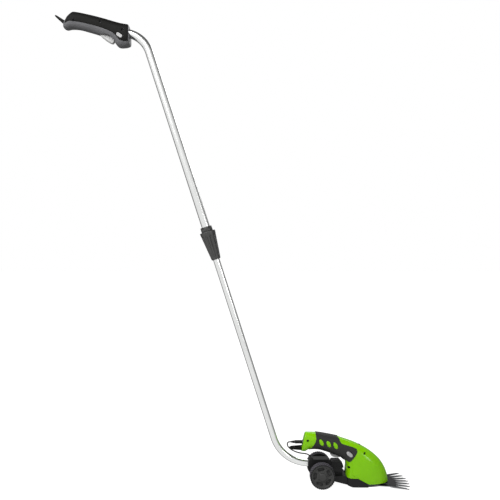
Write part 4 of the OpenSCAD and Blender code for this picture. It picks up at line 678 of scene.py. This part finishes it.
def button_grid(x, y, z, lean_deg, place=None):
    """A lock button as rings of a slot outline: a straight shank, then a crown that rounds over to a shallow
    dish."""
    bow = np.linspace(0, np.pi / 2, 10)
    out = np.concatenate([[-key_shank], key_step + crown_high * np.sin(bow), dish_out])
    draw = np.concatenate([[0.0], key_step + crown_round * (1 - np.cos(bow)), dish_draw])
    rings = np.stack([stadium(x, z, key_long - 2 * d, max(key_wide - 2 * d, dish_least), lean_deg, 72)
                      for d in draw])
    grid = np.stack([rings[..., 0], np.broadcast_to(y - out[:, None], rings.shape[:2]), rings[..., 1]], -1)
    return place(grid) if place else grid


pole_key_y = -17.46
key = button_grid(pole_key[0], pole_key_y, pole_key[1], pole_key_lean, in_handle)
button = piece("pole_lock_key", [(key, "fill")], smooth_deg=40)
button.data.materials.append(pale_abs)
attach(button, "pole_lock_button")
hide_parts("pole_lock_button")

# Zinc plated steel: cool grey, bright, with the cloudy patches of the plating bath
zinc, tree, spot = blank("zinc plated steel")
cloud = add(tree, "ShaderNodeTexNoise", {"Vector": spot, "Scale": 1000 / 3.0, "Detail": 4.0}).outputs["Fac"]
finish(tree, (cloud, "#8E9192", "#B4B6B6"), (cloud, 0.25, 0.45), {"Metallic": 1.0})
for node in ("pole_trigger_pin", "pole_trigger_spring"):
    dress(node, zinc)

# Blackened steel: dark oxide with a dull oily sheen, thin in small patches
oxide, tree, spot = blank("blackened steel")
thin = add(tree, "ShaderNodeTexNoise", {"Vector": spot, "Scale": 1000 / 1.5, "Detail": 3.0}).outputs["Fac"]
finish(tree, (thin, "#1B1B1C", "#3A3A3B"), (thin, 0.35, 0.55), {"Metallic": 1.0})
dress("handle_screws", oxide, edge_mm=0.4)
dress("pole_switch", nylon, edge_mm=0.4)
dress("pole_hang_loop", elastomer, edge_mm=0.9)

# Drive. A can motor stands on an aluminium plate on four posts and its brass pinion turns an acetal crank
# gear, whose cam swings the knife; a cell, switch and board fill the grip behind it.

# Drawn steel can, nickel plated: bright with lengthwise rub marks, drawn 0.8 mm apart so that they show
nickel, tree, spot = blank("nickel plated steel")
rubbed = add(tree, "ShaderNodeMapping", {"Vector": spot, "Scale": (1, 1, 0.05)})
hairs = add(tree, "ShaderNodeTexNoise", {
    "Vector": rubbed.outputs[0], "Scale": 1000 / 0.8, "Detail": 3.0}).outputs["Fac"]
finish(tree, (hairs, "#9A9793", "#BDBAB5"), (hairs, 0.2, 0.38), {"Metallic": 1.0})
dress("motor_can", nickel, edge_mm=0.8)

# Milled aluminium plate: pale grey, cutter marks along one way, drawn 3.77 mm apart so that they show. The
# wave texture's own period is a twentieth of a full turn.
milled, tree, spot = blank("milled aluminium")
passes = add(tree, "ShaderNodeTexWave", {
    "Vector": spot, "Scale": 1000 / 3.77 * math.tau / 20, "Distortion": 1.5, "Detail": 2.0}).outputs["Fac"]
cut = add(tree, "ShaderNodeBump", {"Height": passes, "Strength": 0.1, "Distance": 0.0002})
finish(tree, (passes, "#B9BAB9", "#D0D1D0"), 0.35, {"Metallic": 1.0, "Normal": cut.outputs[0]})
dress("gear_plate", milled, edge_mm=0.3)

# Turned brass: warm yellow, with a little tarnish in cloudy patches
turned_brass, tree, spot = blank("turned brass")
tarnish = add(tree, "ShaderNodeTexNoise", {"Vector": spot, "Scale": 1000 / 2.0, "Detail": 4.0}).outputs["Fac"]
finish(tree, (tarnish, "#9C7A38", "#D0AE63"), 0.3, {"Metallic": 1.0})
dress("pinion", turned_brass)

# Acetal, moulded: milk white, waxy, with grease gathered in cloudy patches
acetal, tree, spot = blank("moulded acetal")
grease = add(tree, "ShaderNodeTexNoise", {"Vector": spot, "Scale": 1000 / 5.0, "Detail": 4.0}).outputs["Fac"]
finish(tree, (grease, "#D8D2BE", "#EAE7DC"), (grease, 0.18, 0.42),
       {"IOR": 1.48, "Subsurface Weight": 0.15, "Subsurface Radius": (0.002, 0.002, 0.0015)})
dress("crank_gear", acetal)
dress("crank_stub", zinc, edge_mm=0.3)

# Shrink sleeve on the cell: blue film, glossy, drawn into fine lengthwise creases
sleeve, tree, spot = blank("shrink film")
drawn = add(tree, "ShaderNodeMapping", {"Vector": spot, "Scale": (0.1, 1, 1)})
crease = add(tree, "ShaderNodeTexNoise", {
    "Vector": drawn.outputs[0], "Scale": 1000 / 3.0, "Detail": 2.0}).outputs["Fac"]
wrinkle = add(tree, "ShaderNodeBump", {"Height": crease, "Strength": 0.15, "Distance": 0.0003})
finish(tree, (crease, "#1C4F9A", "#2763B4"), 0.25, {"Normal": wrinkle.outputs[0], "IOR": 1.54})
dress("battery_cell", sleeve, edge_mm=0.8)

# Glass epoxy board: green resist over a weave 0.5 mm apart that shows through it
epoxy, tree, spot = blank("glass epoxy board")
weave = add(tree, "ShaderNodeTexChecker", {
    "Vector": spot, "Scale": 1000 / 0.5, "Color1": linear("#0E4A2A"), "Color2": linear("#12572F")})
tracks = add(tree, "ShaderNodeTexBrick", {
    "Vector": spot, "Scale": 1000 / 6.0, "Color1": linear("#1B6B3C"), "Color2": linear("#176236"),
    "Mortar": linear("#0E4A2A")})
finish(tree, (0.5, weave.outputs["Color"], tracks.outputs["Color"]), 0.3, {"IOR": 1.55})
dress("control_board", epoxy)
dress("shear_switch", nylon, edge_mm=0.4)
for node in ("shear_trigger_pin", "shear_trigger_spring"):
    dress(node, zinc)

# Blades. A fixed comb and a reciprocating knife stamped from 1.2 mm spring steel, hardened, blackened and
# ground along the cutting edges; they are stacked on one pivot under a moulded floor and over a sole plate.

# Hardened steel: dark oxide on the flats with grinding lines, drawn 0.5 mm apart so that they show, and
# bright metal where the sides were ground
blade, tree, spot = blank("hardened blade steel")
way = add(tree, "ShaderNodeSeparateXYZ", {"Vector": add(tree, "ShaderNodeNewGeometry").outputs["Normal"]})
flat = add(tree, "ShaderNodeMath", {0: way.outputs["Z"]}, operation="ABSOLUTE")
ground = add(tree, "ShaderNodeMapping", {"Vector": spot, "Scale": (0.06, 1, 1)})
lines = add(tree, "ShaderNodeTexNoise", {
    "Vector": ground.outputs[0], "Scale": 1000 / 0.5, "Detail": 3.0}).outputs["Fac"]
sides = add(tree, "ShaderNodeMapRange", {"Value": flat.outputs[0], "From Min": 0.95, "From Max": 0.55})
skin = add(tree, "ShaderNodeMix", {
    "Factor": lines, "A": linear("#191A1C"), "B": linear("#2B2C2E")}, data_type="RGBA")
scored = add(tree, "ShaderNodeBump", {"Height": lines, "Strength": 0.06, "Distance": 0.0002})
finish(tree, (sides.outputs[0], skin.outputs["Result"], "#888A8C"), (lines, 0.26, 0.44),
       {"Metallic": 1.0, "Normal": scored.outputs[0]})
for node in ("fixed_comb", "moving_knife"):
    dress(node, blade, edge_mm=0.35)
dress("blade_pivot", zinc, edge_mm=0.3)
dress("base_cover", nylon, edge_mm=0.4)
dress("sole_plate", oxide, edge_mm=0.3)

# Hand unit. Two glossy green ABS shells screwed together round the drive: a slim grip behind, a deep nose
# over the blades, a step in the wall at the rear of the nose and a soft grip moulded over the handle.
unit_table = np.array([
    (0.049, 0.998, 0.000, 0.627, 0.400, 2.4, 2.6, 0.50), (0.106, 0.995, 0.046, 0.625, 0.470, 2.4, 2.5, 0.50),
    (0.168, 0.990, 0.092, 0.668, 0.510, 2.4, 2.4, 0.50), (0.275, 0.963, 0.199, 0.671, 0.525, 2.4, 2.3, 0.50),
    (0.405, 0.919, 0.315, 0.615, 0.530, 2.4, 2.3, 0.50), (0.500, 0.869, 0.407, 0.560, 0.570, 2.5, 2.3, 0.50),
    (0.593, 0.813, 0.472, 0.504, 0.650, 2.8, 2.3, 0.48), (0.685, 0.742, 0.507, 0.427, 0.740, 3.4, 2.3, 0.46),
    (0.766, 0.665, 0.514, 0.341, 0.820, 4.0, 2.3, 0.44), (0.842, 0.570, 0.512, 0.266, 0.890, 4.4, 2.3, 0.43),
    (0.909, 0.460, 0.510, 0.200, 0.940, 4.6, 2.3, 0.42), (0.957, 0.336, 0.509, 0.145, 0.970, 4.8, 2.3, 0.41),
    (0.988, 0.200, 0.509, 0.098, 0.980, 5.0, 2.3, 0.40), (1.000, 0.080, 0.510, 0.056, 0.985, 5.0, 2.3, 0.40),
    (0.996, 0.026, 0.512, 0.026, 0.980, 5.0, 2.3, 0.40)])
unit_rear, unit_long, unit_high, unit_half = -130.0, 216.0, 126.0, 35.0
unit_rows = (unit_table * (unit_long, unit_high, unit_long, unit_high, unit_half, 1, 1, 1)
             + (unit_rear, 0, unit_rear, 0, 0, 0, 0, 0))
unit_last = len(unit_rows) - 1
unit_wall, unit_seam_wide, unit_beyond = 2.9, 0.012, 60.0
lip_draw, lip_row, lip_round = 3.2, 12.0, 3.4
unit_screws = [(-114.016, 107.982, 9.1), (25.304, 78.75, 14.7), (-13.792, 45.612, 17.5)]
shear_hinge, shear_long, shear_lean = (-27.616, 69.552), 28.512, 22.0
shear_slot_ahead, shear_slot_below, shear_slot_half = 33.25, 28.5, 5.9
shear_key, shear_key_lean, shear_key_floor = (-12.064, 77.49), 38.0, 14.1
lens_at, lens_way, lens_r, lens_run = (16.016, 0, 94.752), (0.454, 0, 0.891), 2.55, (-6, 30)
socket_r, socket_run, unit_hollow_from = 5.05, (-40, 14), 0.7
step_deep, step_half, step_x, step_run = 0.9, 0.8, -7.0, 16.0
step_turn, step_fade, step_rear = (33.0, 21.5), (74.0, 60.0), -40
lower_edge = [(-300, -60), (-300, 21), (8, 21), (24, 12.5), (34, 7.3), (200, 6.6), (200, -60)]


def at_shear_trigger(p):
    """Turns points of the trigger's own frame, x back from its hinge, to their place under the grip."""
    c, s = math.cos(math.radians(shear_lean)), math.sin(math.radians(shear_lean))
    return np.stack([shear_hinge[0] - p[..., 0] * c + p[..., 2] * s, p[..., 1],
                     shear_hinge[1] + p[..., 0] * s + p[..., 2] * c], -1)


def shell_relief(p):
    """How far the shell's wall is sunk at (x, z): a step runs down the rear of the nose and turns forward
    along the lower edge, and the wall behind and below it lies deeper."""
    x, z = p[..., 0], p[..., 2]
    line = step_x + step_run * ease(z, *step_turn) ** 2
    return step_deep * ease(x, line + step_half, line - step_half) * ease(z, *step_fade) * (x > step_rear)


shells = []
for side, name in both_sides:
    u = np.concatenate([np.linspace(0, 0.5, 22)[:-1], np.linspace(0.5, unit_last, 320)])
    rows = through(unit_rows, u)
    a = half_turn(120)
    lip = lip_draw * (1 - quarter(u * lip_row, lip_round))
    sunk = lip[:, None] + parting(np.minimum(a, np.pi - a), seam_deep, unit_seam_wide)
    grid = section(rows, a, side, sunk + shell_relief(section(rows, a, side, sunk)))
    shell = piece("housing_" + name, [(grid, "fill")], smooth_deg=40)
    hollow = through(unit_rows, np.linspace(unit_hollow_from, unit_last, 130))
    hollow = section(hollow, half_turn(60), side, unit_wall)
    hollow[..., 1] -= side * mid_web
    slot = [(-slot_behind, -shear_slot_below), (shear_slot_ahead, -shear_slot_below),
            (shear_slot_ahead, slot_above), (-slot_behind, slot_above)]
    lens_hole = lathe([(end, lens_r) for end in lens_run], lens_at, lens_way)
    socket_hole = lathe([(end, socket_r) for end in socket_run], plug_at, (1, 0, 0))
    cuts = [piece("cutter", [(hollow, "fill")]), bar(lower_edge, -unit_beyond, unit_beyond),
            bar(slot, -shear_slot_half, shear_slot_half, at_shear_trigger),
            piece("cutter", [(lens_hole, "fill")]), piece("cutter", [(socket_hole, "fill")])]
    if side < 0:
        cuts += [bar(stadium(x, z, pocket_wide + hair, pocket_wide, 0), -unit_beyond, -floor)
                 for x, z, floor in unit_screws]
        key_slot = stadium(*shear_key, key_long + key_play, key_wide + key_play, shear_key_lean)
        cuts.append(bar(key_slot, -unit_beyond, -shear_key_floor))
    carve(shell, cuts, smooth_deg=40)
    shells.append(shell)

# Gloss ABS: strong yellow green, mirror-polished tool, so a clear highlight over a slightly wavy skin; flow
# lines and dust dull it in cloudy patches.
green_abs, tree, spot = blank("polished green ABS")
cloud = add(tree, "ShaderNodeTexNoise", {
    "Vector": spot, "Scale": 1000 / 40.0, "Detail": 3.0, "Distortion": 0.4}).outputs["Fac"]
dust = add(tree, "ShaderNodeTexNoise", {"Vector": spot, "Scale": 1000 / 2.5, "Detail": 4.0}).outputs["Fac"]
wavy = add(tree, "ShaderNodeBump", {"Height": cloud, "Strength": 0.05, "Distance": 0.0006})
finish(tree, (cloud, "#78BC00", "#89D000"), (dust, 0.13, 0.21),
       {"Normal": wavy.outputs[0], "IOR": 1.54,
        "Subsurface Weight": 0.05, "Subsurface Radius": (0.001, 0.002, 0.0005)})
for shell, node in zip(shells, ("shell_near", "shell_far")):
    shell.data.materials.append(green_abs)
    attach(shell, "carriage")
    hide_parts(node)
dress("shell_screws", oxide, edge_mm=0.4)
dress("charge_socket", nylon, edge_mm=0.4)
dress("shear_hang_loop", elastomer, edge_mm=0.9)

# Clear red polycarbonate light, a rod polished on its end
ruby, tree, spot = blank("red polycarbonate")
haze = add(tree, "ShaderNodeTexNoise", {"Vector": spot, "Scale": 1000 / 2.0, "Detail": 2.0}).outputs["Fac"]
finish(tree, (haze, "#2A0B0B", "#3A1111"), 0.12, {"IOR": 1.585, "Coat Weight": 0.5})
dress("status_lens", ruby, edge_mm=0.6)

# Soft grip and its windows. Charcoal elastomer moulded over both shells, with three leaf-shaped windows on
# each side in which green pads stand up from the shell.
grip_rear = [1.9, 2, 2.15, 2.25, 2.3, 2.25, 2.1, 2, 2]
grip_front = [6.3, 6.32, 6.35, 6.4, 6.5, 6.98, 7.14, 7.22, 7.2, 7.1, 7.02, 6.9, 6.63]
grip_top = [180] * 9 + [172, 145, 128, 120, 119, 120, 121.5, 123.5, 125, 127, 128.5, 130]
windows = [(-80.6, 104.3), (-62.6, 100.5), (-45.6, 96.6)]
window_long, window_wide, window_lean, window_power, window_film = 17.0, 9.4, 62.0, 1.8, 0.12
window_edge, key_margin = (0.98, 1.22), 6.6


def leaf(x, z, spot):
    """Distance of points from a leaf-shaped window as a share of its size: 0 in the middle, 1 on its edge."""
    u, v = tipped(x - spot[0], z - spot[1], -window_lean)
    u, v = np.abs(u) / (window_long / 2), np.abs(v) / (window_wide / 2)
    return np.sqrt(u ** window_power + v ** window_power)


def window_dip(x, z):
    """Share of the grip's height left at (x, z): all of it away from the windows and a film inside them."""
    away = [ease(leaf(x, z, w), *window_edge) for w in windows]
    return np.prod([window_film + (1 - window_film) * share for share in away], axis=0)


def key_dip(x, z):
    """The same on the near side, where the grip also gives way under the lock button."""
    u, v = tipped(x - shear_key[0], z - shear_key[1], -shear_key_lean)
    away = np.hypot(np.clip(np.abs(u) - (key_long - key_wide) / 2, 0, None), v)
    return window_dip(x, z) * ease(away, (key_wide + key_play) / 2, key_margin)


def on_shell(x, z, side, high):
    """Points on the shell's wall at (x, z), standing off by a height. The row and angle that give them are
    found by Newton steps from the middle of the grip."""
    u, a, nudge = np.full(x.shape, 3.6), np.full(x.shape, 1.7), 1e-4

    def put(u, a, out):
        return section(through(unit_rows, u), a[:, None], side, out)[:, 0]

    for _ in range(14):
        p, pu, pa = (put(*where, 0.0)[:, (0, 2)] for where in ((u, a), (u + nudge, a), (u, a + nudge)))
        du, da, miss = (pu - p) / nudge, (pa - p) / nudge, np.stack([x, z], 1) - p
        det = du[:, 0] * da[:, 1] - du[:, 1] * da[:, 0]
        u_step = (miss[:, 0] * da[:, 1] - miss[:, 1] * da[:, 0]) / det
        a_step = (du[:, 0] * miss[:, 1] - du[:, 1] * miss[:, 0]) / det
        u = np.clip(u + np.clip(u_step, -0.5, 0.5), 0, unit_last)
        a = np.clip(a + np.clip(a_step, -0.2, 0.2), 0.1, 3.0)
    return put(u, a, -high[:, None])


pad_sides, pad_sunk, pad_wall, pad_round, pad_share, pad_crown = 64, 0.3, 0.3, 0.9, 0.22, 0.35


def pad_grid(spot, side):
    """A domed pad: rings of the leaf outline from its sunk edge to a point in the middle, its height a
    quarter circle at the edge and a shallow crown over that."""
    bow, inner = np.linspace(0, np.pi / 2, 8), np.linspace(0.72, 0.02, 14)
    r = np.concatenate([[1.0], 1 - pad_share * (1 - np.cos(bow)), inner])
    crown = pad_wall + pad_round + pad_crown * (1 - inner ** 2)
    high = np.concatenate([[-pad_sunk], pad_wall + pad_round * np.sin(bow), crown])
    turn = np.linspace(0, 2 * np.pi, pad_sides, endpoint=False)[None]
    across, up = (np.sign(f) * np.abs(f) ** (2 / window_power) for f in (np.cos(turn), np.sin(turn)))
    u, v = tipped(r[:, None] * window_long / 2 * across, r[:, None] * window_wide / 2 * up, window_lean)
    x, z = (spot[0] + u).ravel(), (spot[1] + v).ravel()
    return on_shell(x, z, side, np.repeat(high, pad_sides)).reshape(len(r), pad_sides, 3)


# The hand unit's overmould: charcoal, dull, the same leathery grain as the cover above but a shade lighter
charcoal, tree, spot = blank("moulded charcoal elastomer")
grain = add(tree, "ShaderNodeTexVoronoi", {
    "Vector": spot, "Scale": 1000 / 1.1}, feature="DISTANCE_TO_EDGE").outputs["Distance"]
wear = add(tree, "ShaderNodeTexNoise", {"Vector": spot, "Scale": 1000 / 30.0, "Detail": 4.0}).outputs["Fac"]
leather = add(tree, "ShaderNodeBump", {"Height": grain, "Strength": 0.3, "Distance": 0.0002})
finish(tree, (wear, "#252524", "#333331"), (wear, 0.48, 0.68), {"Normal": leather.outputs[0], "IOR": 1.5})
trigger_clear, clear_from, clear_to, grip_spans = 6.0, -59, -23, 300
for side, name in both_sides:
    below = through(unit_rows, np.linspace(grip_rear[0], grip_front[0], grip_spans))
    clear = np.degrees(np.arcsin((trigger_clear / below[:, 4]) ** (below[:, 5] / 2)))
    grip_low = np.where((below[:, 2] > clear_from) & (below[:, 2] < clear_to), clear, 0)
    grid = overmould(unit_rows, grip_rear, grip_front, grip_low, grip_top, side, layer_thick, border=1.4,
                     spans=grip_spans, dip=key_dip if side < 0 else window_dip)
    grip = piece("soft_grip_" + name, [(grid, "fill")], smooth_deg=60)
    grip.data.materials.append(charcoal)
    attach(grip, "carriage")
    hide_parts("grip_" + name)
    pads = piece("window_pads_" + name, [(pad_grid(w, side), "fill") for w in windows], smooth_deg=50)
    pads.data.materials.append(green_abs)
    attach(pads, "carriage")

# Trigger and lock button of the hand unit. Pale ABS like those on the pole; the trigger hangs from a steel
# pin at the front of its slot, and the button crosses the near shell ahead of it.
shear_trigger_z = np.array([0.08, -0.14, -0.36, -0.45, -0.4, -0.3, -0.16, 0, 0.05, 0.1])
outline = np.stack([trigger_x, shear_trigger_z], 1) * shear_long
lever = soft_bar(outline, half=5.5, edge=1.5, place=at_shear_trigger)
trigger = piece("shear_trigger_lever", [(lever, "fill")], smooth_deg=50)
trigger.data.materials.append(pale_abs)
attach(trigger, "shear_trigger")
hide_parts("shear_trigger")
shear_key_y = -25.375
key = button_grid(shear_key[0], shear_key_y, shear_key[1], shear_key_lean)
button = piece("shear_lock_key", [(key, "fill")], smooth_deg=40)
button.data.materials.append(pale_abs)
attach(button, "shear_lock_button")
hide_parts("shear_lock_button")

# Shoe and release button. A cup moulded in black polypropylene takes the foot of the hand unit; a ribbed cap
# on its latch tower is pressed to let the unit go, against a coil spring.

# Polypropylene: black, waxy, a little duller than nylon, scuffed by the ground in short scratches, which are
# drawn 1.2 mm apart so that they show
polypropylene, tree, spot = blank("moulded black polypropylene")
scuff = add(tree, "ShaderNodeMapping", {"Vector": spot, "Rotation": (0, 0, 0.4), "Scale": (0.15, 1, 1)})
scratch = add(tree, "ShaderNodeTexNoise", {
    "Vector": scuff.outputs[0], "Scale": 1000 / 1.2, "Detail": 4.0}).outputs["Fac"]
bloom = add(tree, "ShaderNodeTexNoise", {"Vector": spot, "Scale": 1000 / 25.0, "Detail": 3.0}).outputs["Fac"]
scored = add(tree, "ShaderNodeBump", {"Height": scratch, "Strength": 0.08, "Distance": 0.0003})
finish(tree, (bloom, "#111111", "#1C1C1C"), (scratch, 0.36, 0.56), {"Normal": scored.outputs[0], "IOR": 1.49})
dress("shoe", polypropylene, edge_mm=0.8)
dress("release_button", polypropylene, edge_mm=0.5)
dress("release_spring", zinc)

# Carriage. Two moulded halves clamp the end of the lower tube and the steel axle between the wheels; a
# rounded spine over the tube carries the gland of the lead.
for node in ("carriage_near", "carriage_far"):
    dress(node, polypropylene, edge_mm=1.2)
dress("axle", zinc, edge_mm=0.4)
dress("axle_clips", zinc, edge_mm=0.2)

# Wheels. Each is a rim moulded in dark polypropylene with five windows, closed behind by a thin dust disc, a
# tyre of solid rubber pushed over it with three rows of low blocks, and a hub cap snapped in its middle.

# Rim plastic: dark grey polypropylene with a soft moulded sheen, dulled by patches of grass dust
rim_plastic, tree, spot = blank("moulded grey polypropylene")
soil = add(tree, "ShaderNodeTexNoise", {"Vector": spot, "Scale": 1000 / 12.0, "Detail": 5.0}).outputs["Fac"]
finish(tree, (soil, "#333332", "#484847"), (soil, 0.34, 0.52), {"IOR": 1.49})

# Solid rubber: matt, black on the side walls and a dusty violet grey on the tread, where the ground has
# scuffed it
tread_rubber, tree, spot = blank("solid tyre rubber")
scuff = add(tree, "ShaderNodeTexNoise", {"Vector": spot, "Scale": 1000 / 4.0, "Detail": 5.0}).outputs["Fac"]
dusty = add(tree, "ShaderNodeMix", {
    "Factor": scuff, "A": linear("#434146"), "B": linear("#605C64")}, data_type="RGBA")
way = add(tree, "ShaderNodeSeparateXYZ", {"Vector": add(tree, "ShaderNodeNewGeometry").outputs["Normal"]})
wall = add(tree, "ShaderNodeMath", {0: way.outputs["Y"]}, operation="ABSOLUTE")
wall = add(tree, "ShaderNodeMapRange", {"Value": wall.outputs[0], "From Min": 0.25, "From Max": 0.75})
pores = add(tree, "ShaderNodeBump", {"Height": scuff, "Strength": 0.15, "Distance": 0.0003})
finish(tree, (wall.outputs[0], dusty.outputs["Result"], "#1D1D1D"), (scuff, 0.55, 0.8),
       {"Normal": pores.outputs[0], "IOR": 1.52})
axle_x, axle_z, wheel_in, wheel_wide, tyre_r, rim_r = -81.0, 30.5, 29.0, 20.0, 30.5, 26.9
block_rows, blocks, tread_deep, block_wide, block_long = 3, 36, 1.0, (2.9, 2.2), (2.3, 1.5)
shoulder_draw, shoulder_round, rim_play = 1.6, 1.7, 0.02
disc_in, disc_out, disc_bore, disc_r = 11.6, 12.9, 7.65, 24.35


def tyre_grid(side):
    """The tyre as loops round its wall, up one shoulder, across the tread and down the other. The tread's
    radius drops between rows of blocks and between the blocks of a row, which are set half a pitch apart."""
    turn = np.linspace(0, 2 * np.pi, 16 * blocks, endpoint=False)[:, None]
    w = np.linspace(0, wheel_wide, 61)[None]
    place = w / (wheel_wide / block_rows)
    row = np.clip(np.floor(place), 0, block_rows - 1)
    across = np.abs(place % 1 - 0.5) * wheel_wide / block_rows
    along = np.abs((turn / (2 * np.pi) * blocks + row * 0.5) % 1 - 0.5) * 2 * np.pi * tyre_r / blocks
    block = tread_deep * ease(across, *block_wide) * ease(along, *block_long)
    shoulder = shoulder_draw * (1 - quarter(np.minimum(w, wheel_wide - w), shoulder_round))
    r = tyre_r - tread_deep + block - shoulder
    w = np.concatenate([w, [[wheel_wide, 0.0]]], 1) * np.ones_like(turn)
    r = np.concatenate([r, np.full((len(turn), 2), rim_r + rim_play)], 1)
    return np.stack([axle_x + r * np.cos(turn), side * (wheel_in + w), axle_z + r * np.sin(turn)], -1)


for side, name in both_sides:
    tyre = piece("tyre_" + name, [(tyre_grid(side), "wrap")], smooth_deg=45)
    tyre.data.materials.append(tread_rubber)
    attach(tyre, "wheel_" + name)
    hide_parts("wheel_" + name + "_tyre")
    ring = [(disc_in, disc_bore), (disc_in, disc_r), (disc_out, disc_r), (disc_out, disc_bore)]
    ring = lathe(ring, (axle_x, side * wheel_in, axle_z), (0, side, 0), sides=96)
    disc = piece("dust_disc_" + name, [(ring, "wrap")], smooth_deg=40)
    disc.data.materials.append(rim_plastic)
    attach(disc, "wheel_" + name)
    dress("wheel_" + name + "_rim", rim_plastic, edge_mm=0.6)
    dress("wheel_" + name + "_cap", rim_plastic, edge_mm=0.5)
